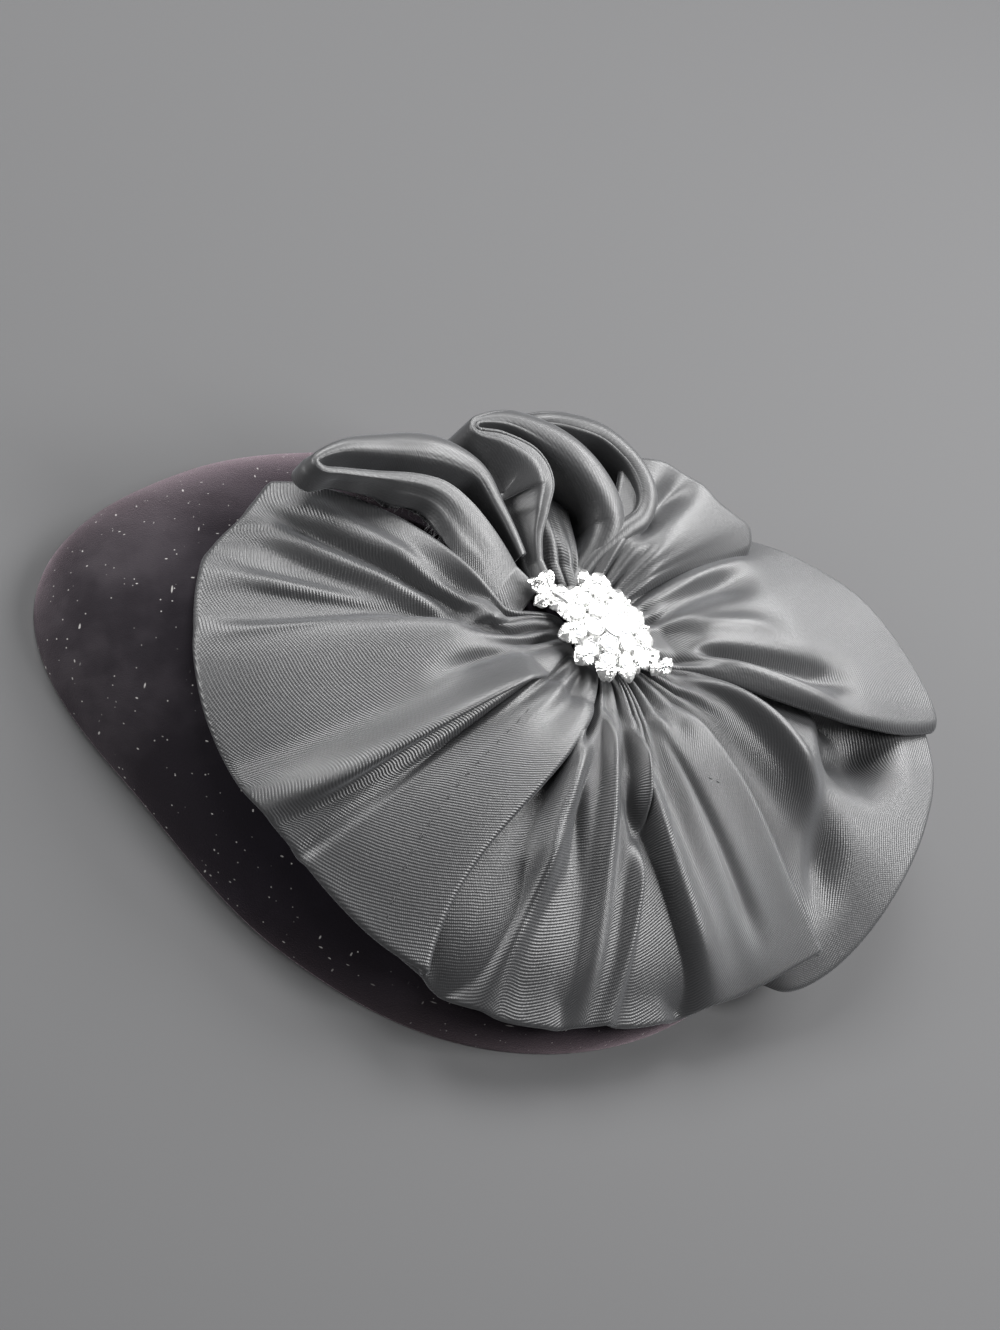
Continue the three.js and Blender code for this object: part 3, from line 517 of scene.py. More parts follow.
def crown_surface(sizes, turns=300, rings=66):
    """One shell drawn by a profile taken round the oval: middle of the outside, down over the
    shoulder to the rim, round the folded edge, and up the inside. A slow swell of a fifth of a
    millimetre makes the blocked cloth a little uneven."""
    bearing = np.linspace(0, 2 * np.pi, turns, endpoint=False)[:, None]
    out = 1 - (1 - np.linspace(0, 1, rings)) ** 2.2
    top = sizes.crown_height
    wall = sizes.crown_wall

    def dome(share, inset, height):
        radius = outline_radius(sizes, bearing, inset) * share
        swell = np.sin(3 * bearing + 5 * share) * np.sin(7 * share + bearing) * share * (1 - share**6)
        z = dome_height(share, height) + SWELL * swell
        return np.stack([radius * np.cos(bearing), radius * np.sin(bearing), z], -1)

    outside = dome(out[None, :], 0.0, top)
    inside = dome(out[::-1][None, :], wall, top - wall)
    edge = np.linspace(0, np.pi, 7)[1:-1]
    rolled = outline_radius(sizes, bearing, wall / 2) + np.cos(edge)[None, :] * wall / 2
    lift = RIM_LIFT * (1 - np.sin(edge))[None, :] + 0 * bearing
    rim = np.stack([rolled * np.cos(bearing), rolled * np.sin(bearing), lift], -1)
    outside[:, -1, 2] = np.maximum(outside[:, -1, 2], RIM_LIFT)
    inside[:, 0, 2] = np.maximum(inside[:, 0, 2], RIM_LIFT)
    return np.concatenate([outside, rim, inside], axis=1)[:, ::-1]


# Ribbon

# A fan row holds bearings at the gather and at the hem and how far the line between bows, in degrees;
# the hem's reach as a share of the rosette's; its height as a share of the crown's; how far the cloth
# crests in between, as a share of the crown's height; and the radius of the hem's soft fold, in mm.
# A fold row holds bearings at its two ends; the shares of the reach where it begins and ends; and its
# width, rise and lean as shares of the reach. Then come the number of narrow pleats at the gather, and
# the radii in metres by which the two side edges turn down. One fan also swirls at the gather, by
# degrees, and bends the lines of its folds by a power.

FAN_LEFT = {
    "rows": [
        [200, 164, -14, 0.88, 0.92, 0.27, 1.2],
        [201, 171, -12, 0.91, 0.88, 0.25, 1.1],
        [199, 177, -6, 0.96, 0.84, 0.22, 1.0],
        [196, 181, -3, 0.99, 0.82, 0.22, 0.9],
        [197, 188, -1, 1, 0.78, 0.22, 0.9],
        [201, 194, 0, 1.01, 0.74, 0.22, 0.9],
        [208, 203, 0, 1.0, 0.66, 0.22, 0.8],
        [217, 213, 2, 0.97, 0.6, 0.22, 0.8],
        [229, 222, 2, 0.93, 0.57, 0.22, 0.8],
        [252, 232, -6, 0.92, 0.54, 0.24, 0.8],
        [272, 243, -10, 0.92, 0.52, 0.24, 0.8],
        [288, 251, -14, 0.91, 0.5, 0.24, 0.8],
    ],
    "folds": [
        [183, 166, 0.36, 0.86, 0.05, 0.03, 0],
        [180, 175, 0.3, 0.56, 0.05, -0.05, 0],
        [190, 169, 0.28, 0.92, 0.028, -0.034, -0.01],
        [192, 173, 0.3, 0.9, 0.026, 0.014, 0],
        [190, 177, 0.3, 1.02, 0.055, -0.055, 0],
        [187, 182, 0.24, 0.96, 0.045, 0.026, 0.01],
        [186, 187, 0.32, 1.02, 0.055, -0.06, 0],
        [184, 191, 0.26, 1.02, 0.03, 0.018, 0.012],
        [193, 192, 0.12, 0.4, 0.04, -0.04, 0],
        [199, 208, 0.12, 0.5, 0.036, -0.036, 0],
        [216, 216, 0.12, 1.0, 0.05, 0.052, 0.044],
        [225, 225, 0.12, 1.0, 0.02, -0.026, 0],
    ],
    "pleats": 9,
    "swirl": 34,
    "bend": 0.6,
    "edges": (0.001, 0.0012),
}

FAN_FRONT = {
    "rows": [
        [290, 246, -14, 0.9, 0.44, 0.12, 0.8],
        [292, 254, -13, 0.91, 0.42, 0.15, 0.8],
        [295, 260, -13, 0.92, 0.4, 0.2, 0.9],
        [301, 266, -12, 0.92, 0.4, 0.2, 0.9],
        [309, 275, -8, 0.91, 0.38, 0.2, 0.9],
        [318, 283, -8, 0.9, 0.38, 0.22, 0.9],
        [323, 292, -10, 0.91, 0.36, 0.18, 0.9],
        [326, 303, -12, 0.92, 0.34, 0.2, 0.9],
        [329, 312, -8, 0.95, 0.42, 0.25, 0.9],
        [333, 320, -3, 0.98, 0.5, 0.27, 0.9],
        [337, 327, -2, 1.02, 0.56, 0.28, 0.9],
    ],
    "folds": [
        [260, 252, 0.64, 1.06, 0.045, -0.09, 0],
        [264, 262, 0.22, 0.7, 0.05, 0.055, -0.01],
        [264, 261, 0.55, 1.02, 0.045, 0.04, -0.01],
        [268, 277, 0.4, 0.96, 0.032, -0.035, 0],
        [279, 279, 0.2, 0.92, 0.045, 0.035, 0],
        [294, 282, 0.26, 1.02, 0.036, 0.04, 0.01],
        [288, 304, 0.42, 1.02, 0.05, -0.075, 0],
        [296, 308, 0.32, 1.02, 0.06, 0.05, -0.02],
        [312, 317, 0.3, 0.9, 0.03, -0.012, 0],
    ],
    "pleats": 8,
    "edges": (0.0008, 0.0014),
}

FAN_RIGHT = {
    "rows": [
        [330, 318, -4, 0.96, 0.34, 0.08, 1.4],
        [331, 321, -3, 1.03, 0.36, 0.09, 1.4],
        [333, 327, -2, 1.08, 0.42, 0.12, 1.5],
        [336, 334, 0, 1.11, 0.54, 0.17, 1.6],
        [340, 342, 0, 1.13, 0.7, 0.2, 1.6],
        [344, 352, 0, 1.16, 0.8, 0.2, 1.6],
        [349, 361, 0, 1.19, 0.82, 0.14, 1.4],
        [353, 371, 0, 1.17, 0.8, 0.05, 1.2],
        [358, 380, 0, 1.12, 0.84, 0, 0.8],
        [363, 388, 0, 1.02, 0.86, 0, 0.8],
    ],
    "folds": [
        [357, 341, 0.22, 0.78, 0.052, 0.066, -0.006],
        [341, 335, 0.25, 0.72, 0.03, -0.008, 0],
        [330, 327, 0.2, 0.6, 0.034, 0.035, 0.004],
        [373, 364, 0.25, 0.95, 0.05, -0.06, 0],
        [356, 361, 0.76, 1.06, 0.15, -0.13, 0],
        [340, 332, 0.78, 1.0, 0.09, -0.06, 0],
    ],
    "pleats": 7,
    "edges": (0.001, 0.0005),
}

SWEEP_RIGHT = {
    "rows": [
        [354, 366, -3, 1.2, 0.9, 0.26, 1.9],
        [360, 370, 0, 1.17, 0.95, 0.26, 1.7],
        [372, 378, 2, 1.1, 0.98, 0.24, 1.5],
        [386, 387, 2, 1, 1, 0.24, 1.4],
        [398, 396, 2, 0.86, 1, 0.22, 1.3],
        [408, 404, 2, 0.74, 0.98, 0.12, 1.0],
        [416, 414, 2, 0.66, 0.9, 0.02, 0.7],
        [424, 424, 0, 0.58, 0.84, 0, 0.5],
    ],
    "folds": [
        [367, 368, 0.3, 0.84, 0.046, -0.06, 0],
        [361, 361, 0.25, 0.8, 0.03, 0.02, 0.004],
        [380, 378, 0.2, 0.6, 0.04, 0.02, 0],
        [394, 394, 0.2, 0.6, 0.05, -0.04, 0],
        [402, 398, 0.3, 0.7, 0.04, 0.02, 0],
    ],
    "pleats": 7,
    "edges": (0.0026, 0.0005),
}

FOLD_TOP = {
    "rows": [
        [62, 40, -4, 0.66, 1.14, 0.15, 2.8],
        [66, 44, -4, 0.68, 1.2, 0.2, 2.8],
        [70, 48, -4, 0.65, 1.25, 0.24, 2.4],
        [75, 54, -3, 0.61, 1.3, 0.27, 1.6],
        [80, 61, -2, 0.6, 1.34, 0.27, 1.2],
        [85, 69, -2, 0.57, 1.37, 0.24, 1.0],
        [89, 76, -2, 0.54, 1.38, 0.2, 0.8],
        [93, 84, -2, 0.51, 1.34, 0.2, 0.8],
    ],
    "folds": [
        [70, 63, 0.3, 0.66, 0.05, -0.05, 0],
    ],
    "pleats": 4,
    "edges": (0.0018, 0.0008),
}

# The shaded stretch that lies inside the top loop
LOOP_FLOOR = {
    "rows": [
        [128, 118, 0, 0.45, 1.2, 0.12, 0.4],
        [120, 113, 0, 0.46, 1.14, 0.12, 0.4],
        [110, 107, 0, 0.45, 1.12, 0.14, 0.4],
        [99, 100, 0, 0.4, 1.14, 0.14, 0.4],
    ],
    "folds": [
        [118, 114, 0.2, 0.46, 0.03, 0.02, 0],
    ],
    "pleats": 2,
    "edges": (0.0005, 0.0005),
}

# A loop row holds the rim's bearing in degrees, its distance from the gather as a share of the
# rosette's reach, its height as a share of the crown's, and then, as shares of the reach, the rim's
# roll and the flare of the outer layer. The last two columns are how far the outer and the inner layer
# come down towards the crown, from 0 to 1.

LOOP_TOP = {
    "rows": [
        [133, 0.15, 1.17, 0.011, 0.01, 1, 1],
        [131, 0.21, 1.21, 0.011, 0.02, 1, 1],
        [127, 0.285, 1.29, 0.011, 0.04, 1, 1],
        [121, 0.34, 1.36, 0.011, 0.085, 1, 1],
        [117, 0.4, 1.41, 0.011, 0.12, 1, 1],
        [120, 0.475, 1.44, 0.011, 0.115, 1, 1],
        [128, 0.54, 1.45, 0.01, 0.07, 1, 1],
        [134, 0.58, 1.44, 0.01, 0.025, 1, 1],
        [132, 0.6, 1.45, 0.012, 0.015, 1, 1],
        [123, 0.57, 1.48, 0.022, 0.02, 1, 1],
        [112, 0.505, 1.49, 0.038, 0.02, 1, 1],
        [102, 0.44, 1.48, 0.042, 0.02, 1, 1],
        [92, 0.38, 1.43, 0.042, 0.02, 1, 1],
        [86, 0.325, 1.38, 0.04, 0.02, 1, 1],
        [87, 0.265, 1.31, 0.032, 0.015, 1, 1],
        [96, 0.2, 1.21, 0.022, 0.01, 1, 1],
        [108, 0.15, 1.17, 0.014, 0.01, 1, 1],
    ],
    "turn": 1,
}

LOOP_LEFT = {
    "rows": [
        [150, 0.18, 1.19, 0.011, 0.1, 0.6, 1],
        [149.5, 0.27, 1.24, 0.011, 0.11, 0.38, 1],
        [150, 0.38, 1.29, 0.011, 0.105, 0.34, 1],
        [150.5, 0.465, 1.33, 0.011, 0.085, 0.34, 1],
        [152.5, 0.54, 1.36, 0.011, 0.055, 0.36, 0.8],
        [157, 0.615, 1.37, 0.011, 0.03, 0.38, 0.6],
        [162, 0.695, 1.36, 0.011, 0.01, 0.36, 0.45],
        [165.5, 0.77, 1.36, 0.01, 0.005, 0.34, 0.38],
        [167.5, 0.825, 1.36, 0.01, 0.0, 0.34, 0.36],
        [166.5, 0.85, 1.38, 0.011, 0.0, 0.34, 0.36],
        [162, 0.8, 1.42, 0.018, 0.0, 0.4, 0.4],
        [156, 0.715, 1.43, 0.028, 0.01, 0.7, 0.6],
        [149, 0.63, 1.45, 0.036, 0.02, 1, 1],
        [143, 0.56, 1.42, 0.034, 0.02, 1, 1],
        [138, 0.49, 1.36, 0.024, 0.01, 1, 1],
        [137, 0.4, 1.27, 0.018, 0.01, 1, 1],
        [139, 0.27, 1.19, 0.013, 0.01, 1, 1],
    ],
    "turn": 1,
}

LOOP_BACK = {
    "rows": [
        [98, 0.18, 1.19, 0.014, 0.01, 1, 1],
        [88, 0.245, 1.26, 0.018, 0.01, 1, 1],
        [78, 0.32, 1.33, 0.021, 0.02, 1, 1],
        [73, 0.38, 1.37, 0.023, 0.02, 1, 1],
        [75, 0.445, 1.41, 0.025, 0.02, 1, 1],
        [82, 0.505, 1.43, 0.025, 0.02, 1, 1],
        [92, 0.55, 1.44, 0.023, 0.02, 1, 1],
        [102, 0.57, 1.42, 0.021, 0.02, 1, 1],
        [110, 0.585, 1.36, 0.018, 0.02, 1, 1],
        [117, 0.6, 1.22, 0.014, 0.015, 1, 1],
        [122, 0.61, 1.08, 0.011, 0.01, 1, 1],
    ],
    "turn": -1,
}


# The brooch's half length and half width where it presses the cloth, as shares of its length, and how
# softly the cloth meets it
FOOTPRINT = (0.66, 0.46)
PRESS_SOFTNESS = 0.0022
# Depth of the narrow pleats, and size of the slow unevenness of flat cloth
PLEAT_DEPTH = 0.0024
UNEVEN = 0.00035


def seat_height(sizes):
    at = crown_height(sizes, sizes.gather_across, sizes.gather_along)
    return float(at) + sizes.ribbon_wall / 2 + sizes.clearance


def setting_height(sizes, brooch):
    return seat_height(sizes) + brooch.lift


def press_down(sizes, brooch, x, y, z, wall):
    """The brooch presses the cloth down under its footprint, and past it the ceiling rises again. The
    lower of the cloth and the ceiling is taken smoothly."""
    c, s = cos_sin(brooch.bearing)
    dx, dy = x - sizes.gather_across, y - sizes.gather_along
    a = (dx * c + dy * s) / (FOOTPRINT[0] * brooch.length)
    b = (dy * c - dx * s) / (FOOTPRINT[1] * brooch.length)
    past = np.maximum(0, np.hypot(a, b) - 1)
    ceiling = setting_height(sizes, brooch) - 2 * sizes.clearance - wall / 2 + past * brooch.length / 3
    return 0.5 * (z + ceiling - np.hypot(z - ceiling, PRESS_SOFTNESS))


def rest_on(z, floor, softness=0.0012):
    """The higher of the cloth and what it rests on, taken smoothly."""
    return 0.5 * (z + floor + np.hypot(z - floor, softness))


def fan_surface(sizes, brooch, table, nu=280, nv=120):
    """A fan in polar form about the gather. Distance out grows evenly with v from the gather to the
    hem's reach. The bearing goes from root to hem bearing as v to the 0.8 plus the bow, and swirls
    near the gather. The height falls from the seat to the hem's as v to the 1.6, plus the crest. Each
    fold adds a rise times a bell across its line, whose bearing goes as the share to the bend. Narrow
    pleats, down by the square of a cosine, fade out away from the gather, each side edge turns
    down as a quarter round, and all is kept under the brooch and above the crown."""
    root, hem, bow, reach, height, crest, turned = np.array(table["rows"], float).T
    u = np.linspace(0, 1, nu)[:, None] * np.ones((1, nv))
    v = np.ones((nu, 1)) * np.linspace(0, 1, nv)[None, :] ** 0.92
    radius = sizes.gather_radius + (open_curve(reach, u) * sizes.reach - sizes.gather_radius) * v
    start = open_curve(root, u)
    bearing = start + (open_curve(hem, u) - start) * v**0.8 + open_curve(bow, u) * 4 * v * (1 - v)
    swirled = (1 - smooth_step(v, 0, 0.26)) * (1 - smooth_step(u, 0.1, 0.6))
    bearing = bearing - table.get("swirl", 0) * swirled
    seat = seat_height(sizes)
    z = seat + (open_curve(height, u) * sizes.crown_height - seat) * v**1.6
    z = z + open_curve(crest, u) * sizes.crown_height * np.sin(np.pi * v**0.6)
    out = radius / sizes.reach
    slide = 0.0
    for start, end, near, far, width, rise, lean in table["folds"]:
        share = np.clip((out - near) / (far - near), 0, 1.4)
        side = np.radians(bearing - start - (end - start) * share ** table.get("bend", 1)) * radius
        wide = width * sizes.reach * np.clip(out / far, 0.15, 1)
        along = smooth_step(out, near - 0.06, near + 0.1)
        along = along * (1 - smooth_step(out, far - 0.14, far + 0.04))
        bump = np.exp(-((side / wide) ** 2)) * along * (1 - 0.5 * smooth_step(v, 0.8, 1))
        z = z + rise * sizes.reach * bump
        slide = slide + lean * sizes.reach * bump
    c, s = cos_sin(bearing)
    x = sizes.gather_across + radius * c - slide * s
    y = sizes.gather_along + radius * s + slide * c
    z = z + UNEVEN * np.sin(140 * x + 60 * y) * np.sin(90 * y - 50 * x) * smooth_step(v, 0.2, 0.6)
    z = press_down(sizes, brooch, x, y, z, sizes.ribbon_wall)
    phase = np.pi * table["pleats"] * (u + 0.03 * np.sin(9 * u + 1.0) + 0.02 * v)
    deep = np.cos(phase) ** 2 * (0.65 + 0.35 * np.sin(17 * u + 2 * v))
    faded = (1 - smooth_step(out, 0.16, 0.5)) ** 1.5
    z = z - PLEAT_DEPTH * deep * smooth_step(out, 0.085, 0.16) * faded
    for side, r in zip((0, -1), table["edges"]):
        gap = np.minimum(np.abs(np.radians(bearing - bearing[side])) * radius, r)
        z = z - (r - np.sqrt(np.maximum(r * r - (r - gap) ** 2, 0))) * smooth_step(v, 0.1, 0.35)
    hem_radius = np.interp(np.linspace(0, 1, nu), np.linspace(0, 1, len(turned)), turned) * 0.001
    lift = sizes.ribbon_wall / 2 + sizes.clearance + 2 * hem_radius[:, None] * smooth_step(v, 0.72, 1)
    z = rest_on(z, crown_height(sizes, x, y) + lift)
    return np.stack([x, y, z], -1), hem_radius


def turned_hem(points, radius, back=0.009, steps=9):
    """The hem's soft fold: half a round of the radius past the last line, then back under the cloth,
    as the doubled ribbon does."""
    normal = upward_normals(points)[:, -3]
    edge = points[:, -1]
    onward = unit(edge - points[:, -4])
    normal = unit(normal - (normal * onward).sum(-1, keepdims=True) * onward)
    r = radius[:, None]
    turn = np.linspace(0, np.pi, steps + 1)[1:]
    lines = [edge + r * np.sin(t) * onward - r * (1 - np.cos(t)) * normal for t in turn]
    lines += [edge - 2 * r * normal - back * k * onward for k in (0.25, 0.5, 0.75, 1.0)]
    return np.concatenate([points, np.stack(lines, 1)], 1)


def cloth_uv(points, across_share=0.7):
    """Length along the ribbon, measured on one line of the grid, and length across it on each line."""
    column = int(points.shape[1] * across_share)
    along = run_lengths(points[:, column : column + 1], 0)
    across = run_lengths(points, 1)
    return np.stack([along + 0 * across, across], -1)


def loop_surface(sizes, brooch, table, nu=300, nv=72):
    """A standing loop: its section is carried along the rim's path. The section climbs the inner wall,
    goes over the rim as half a round of the roll, and comes down outside with the flare. Slow ripples
    grow down both walls, as soft cloth standing on edge has."""
    bearing, out, height, roll, flare, drop, deep = np.array(table["rows"], float).T
    c, s = cos_sin(bearing)
    across, along = out * c * sizes.reach, out * s * sizes.reach
    fine = np.linspace(0, 1, 900)
    path = np.stack([open_curve(across, fine), open_curve(along, fine)], -1)
    gone = np.concatenate([[0], np.cumsum(np.linalg.norm(np.diff(path, axis=0), axis=1))])
    u = np.interp(np.linspace(0, gone[-1], nu), gone, fine)
    x = sizes.gather_across + open_curve(across, u)
    y = sizes.gather_along + open_curve(along, u)
    tx, ty = np.gradient(x), np.gradient(y)
    size = np.hypot(tx, ty)
    ox, oy = -ty / size * table["turn"], tx / size * table["turn"]
    r = np.maximum(open_curve(roll, u), 0.008) * sizes.reach
    r = r - 0.0004 * (1 - smooth_step(r, 0.0011, 0.0022))
    skirt = open_curve(flare, u) * sizes.reach
    free = open_curve(height, u) * sizes.crown_height
    top = press_down(sizes, brooch, x, y, free, sizes.loop_wall)
    lift = sizes.loop_wall / 2 + sizes.clearance
    inner = crown_height(sizes, x - ox * r, y - oy * r) + lift
    foot = crown_height(sizes, x + ox * (r + skirt), y + oy * (r + skirt)) + lift
    fall = open_curve(drop, u)
    outer = top - r + (foot - top + r) * fall
    inner = top - r + (inner - top + r) * open_curve(deep, u)
    middle = (top - r + outer) / 2
    k = math.sqrt(0.5)
    offsets = [
        -0.9 * r, -r, -r, -r * k, 0 * r, r * k + 0.1 * skirt, r + 0.26 * skirt,
        r + (0.45 + 0.25 * fall) * skirt, r + (0.62 + 0.38 * fall) * skirt,
        r + (1.05 - 0.1 * fall) * skirt,
    ]
    heights = [
        inner, (inner + top - r) / 2, top - r, top - r * (1 - k), top, top - r * (1 - k), top - r,
        top - r + (middle - top + r) * 0.6, middle, outer,
    ]
    v = np.linspace(0, 1, nv)
    offset = open_curve(np.stack(offsets, -1), v)
    z = open_curve(np.stack(heights, -1), v)
    arc = np.linspace(0, gone[-1], nu)[:, None] / 0.013
    low = smooth_step(np.abs(v[None, :] - 0.45), 0.12, 0.5)
    lean = 1.6 * v[None, :]
    ripple = np.sin(2.1 * arc + 0.6 + lean) + 0.7 * np.sin(3.7 * arc + 2.0 - lean)
    ripple = ripple + 0.3 * np.sin(7.3 * arc + lean)
    sway = np.where(v[None, :] > 0.45, 0.0007, 0.0004)
    offset = offset + sway * ripple * low
    z = z + 0.0003 * np.sin(1.3 * arc) * (1 - low)
    x, y = x[:, None] + ox[:, None] * offset, y[:, None] + oy[:, None] * offset
    return np.stack([x, y, np.maximum(z, crown_height(sizes, x, y) + lift)], -1)


def add_ribbon(name, points, replaced=True):
    """One stretch of ribbon as a piece: a sheet of cloth given a thin wall and the satin finish.
    Unless replaced is false, it hides the imported piece of the same name."""
    obj = surface_mesh(f"{name}_cloth", points, uv=cloth_uv(points))
    sizes = bpy.context.scene.hat_sizes
    thicken(obj, sizes.cloth * 1.4)
    dress(obj, finishes()["satin"], "satin", *([name] if replaced else []))
    return obj


class HAT_OT_crown(bpy.types.Operator):
    """Velvet crown: one shell with a folded rim, hollow underneath"""

    bl_idname = "hat.crown"
    bl_label = "Velvet crown"

    def execute(self, context):
        points = crown_surface(context.scene.hat_sizes)
        obj = surface_mesh("crown_velvet", points, wrap=True, poles=(True, True))
        dress(obj, finishes()["velvet"], "velvet", "crown")
        return {"FINISHED"}


class HAT_OT_fans(bpy.types.Operator):
    """Fans of pleated ribbon that lie over the crown, each with a soft turned hem"""

    bl_idname = "hat.fans"
    bl_label = "Ribbon fans"

    def execute(self, context):
        sizes, brooch = context.scene.hat_sizes, context.scene.brooch_sizes
        tables = {
            "ribbon_fan_left": FAN_LEFT, "ribbon_fan_front": FAN_FRONT, "ribbon_fan_right": FAN_RIGHT,
            "ribbon_sweep_right": SWEEP_RIGHT, "ribbon_fold_top": FOLD_TOP,
        }
        for name, table in tables.items():
            points, radius = fan_surface(sizes, brooch, table)
            add_ribbon(name, turned_hem(points, radius))
        points, _ = fan_surface(sizes, brooch, LOOP_FLOOR, 90, 60)
        add_ribbon("ribbon_loop_top_floor", points, replaced=False)
        return {"FINISHED"}


class HAT_OT_loops(bpy.types.Operator):
    """Loops of doubled ribbon that stand on edge at the back"""

    bl_idname = "hat.loops"
    bl_label = "Ribbon loops"

    def execute(self, context):
        sizes, brooch = context.scene.hat_sizes, context.scene.brooch_sizes
        tables = {
            "ribbon_loop_top": LOOP_TOP, "ribbon_loop_left": LOOP_LEFT, "ribbon_loop_back": LOOP_BACK,
        }
        for name, table in tables.items():
            add_ribbon(name, loop_surface(sizes, brooch, table))
        return {"FINISHED"}


# Brooch

# Leaf rows: place along the hat's X and Y from the gather, as shares of the brooch's length; the
# bearing it points along; its length and width as shares of the brooch's length.
LEAVES = [
    [0.06, 0.3, 100, 0.15, 0.14],
    [0.19, 0.24, 62, 0.14, 0.12],
    [0.31, 0.1, 22, 0.15, 0.1],
    [0.33, -0.04, -8, 0.14, 0.1],
    [0.24, -0.16, -38, 0.13, 0.12],
    [0.06, -0.25, -80, 0.15, 0.12],
    [-0.1, -0.2, 232, 0.14, 0.11],
    [-0.2, -0.06, 196, 0.15, 0.12],
    [-0.16, 0.12, 150, 0.16, 0.1],
    [-0.08, 0.27, 112, 0.14, 0.09],
    [-0.36, 0.28, 118, 0.11, 0.08],
    [-0.44, 0.21, 168, 0.12, 0.08],
    [-0.4, 0.1, 214, 0.12, 0.08],
    [0.47, -0.13, 20, 0.13, 0.09],
]
# More petals of the spray, in the same way
SPRAY_PETALS = [
    [-0.2, 0.13, 140, 0.13, 0.12],
    [-0.26, 0.2, 100, 0.12, 0.1],
    [-0.29, 0.1, 200, 0.11, 0.1],
    [-0.34, 0.2, 60, 0.1, 0.09],
    [-0.37, 0.14, 240, 0.1, 0.09],
    [-0.1, 0.36, 80, 0.13, 0.1],
    [0.02, 0.37, 75, 0.14, 0.15],
    [0.41, -0.14, 250, 0.1, 0.09],
    [0.4, -0.05, 40, 0.1, 0.08],
    [0.5, -0.08, 60, 0.09, 0.08],
]
# The cluster's middle and the radius of its plate, as shares of the brooch's length
CLUSTER = (0.05, 0.02)
CLUSTER_RADIUS = 0.25
# Stem rows: the places of the two ends, and the radius of all stems, as shares of the brooch's length
STEMS = [
    [-0.12, 0.08, -0.4, 0.2],
    [-0.36, 0.17, -0.36, 0.3],
    [-0.36, 0.17, -0.42, 0.08],
    [0.2, -0.06, 0.48, -0.13],
]
STEM_RADIUS = 0.026
# Ring rows: how many stones, the ring's radius as a share, the first bearing
STONE_RINGS = [[1, 0, 0], [6, 0.135, 20], [11, 0.237, 5]]
# Places of the spray's stones, then the rings of beads by radius and count, and a bead's width
SPRAY_STONES = [
    [-0.3, 0.17], [-0.385, 0.265], [-0.43, 0.19], [-0.41, 0.095], [0.475, -0.12], [0.385, -0.1],
]
BEAD_RINGS = [[0.076, 12], [0.188, 22]]
BEAD_WIDTH = 0.0013


def brooch_top(sizes, brooch, x, y):
    """Height of the setting's face over a place measured from the gather: a low dome."""
    out = np.hypot(x - CLUSTER[0] * brooch.length, y - CLUSTER[1] * brooch.length)
    share = out / (CLUSTER_RADIUS * 1.25 * brooch.length)
    return setting_height(sizes, brooch) + brooch.plate + brooch.dome * np.maximum(0, 1 - share**2)


def stone_seats(sizes, brooch):
    """Centres, widths and facings of the stones."""
    rows = []
    widths = [brooch.stone_centre, brooch.stone_inner, brooch.stone_outer]
    for (count, ring, first), width in zip(STONE_RINGS, widths):
        c, s = cos_sin(first + 360 * np.arange(count) / count)
        x, y = (CLUSTER[0] + ring * c) * brooch.length, (CLUSTER[1] + ring * s) * brooch.length
        rows += [(a, b, width, 0.9) for a, b in zip(x, y)]
    rows += [(x * brooch.length, y * brooch.length, brooch.stone_spray, 0.1) for x, y in SPRAY_STONES]
    x, y, width, spread = np.array(rows).T
    facing = np.stack([
        (x - CLUSTER[0] * brooch.length) * spread, (y - CLUSTER[1] * brooch.length) * spread,
        0 * x + brooch.length / 2,
    ], -1)
    place = from_gather(sizes, x, y, brooch_top(sizes, brooch, x, y) + 0.1 * width)
    return place, width, unit(facing)


def spun(place, width, facing, profile, sides, turns=None):
    """Profile rows (radius, height) as shares of half a width, spun about each facing."""
    side = unit(np.cross([0.0, 1.0, 0.0], facing))
    over = np.cross(facing, side)
    angle = np.linspace(0, 2 * np.pi, sides, endpoint=False)
    grids = []
    for at, wide, out, s, o in zip(place, width, facing, side, over):
        radius, height = np.array(profile, float).T * wide / 2
        shift = np.zeros(len(radius)) if turns is None else np.array(turns) * np.pi / sides
        a = angle[:, None] + shift[None, :]
        ring = np.cos(a)[..., None] * s + np.sin(a)[..., None] * o
        grids.append(at + ring * radius[None, :, None] + out * height[None, :, None])
    return grids


# Cut stone, from its point up to its table
STONE_PROFILE = [(0, -0.75), (0.52, -0.4), (1, -0.06), (1, 0.05), (0.8, 0.2), (0.56, 0.34), (0, 0.34)]
STONE_TURNS = [0, 1, 0, 0, 1, 0, 0]
# Cup that holds a stone, a ring whose lip turns in over the girdle
CUP_PROFILE = [
    (0.62, -0.9), (1.06, -0.75), (1.26, -0.3), (1.3, 0.02), (1.22, 0.16), (1.08, 0.16), (1.02, 0.06),
    (1.03, -0.12), (0.7, -0.5), (0.5, -0.85), (0.62, -0.9),
]
BEAD_PROFILE = [(0, -1), (0.7, -0.7), (1, 0), (0.7, 0.7), (0, 1)]


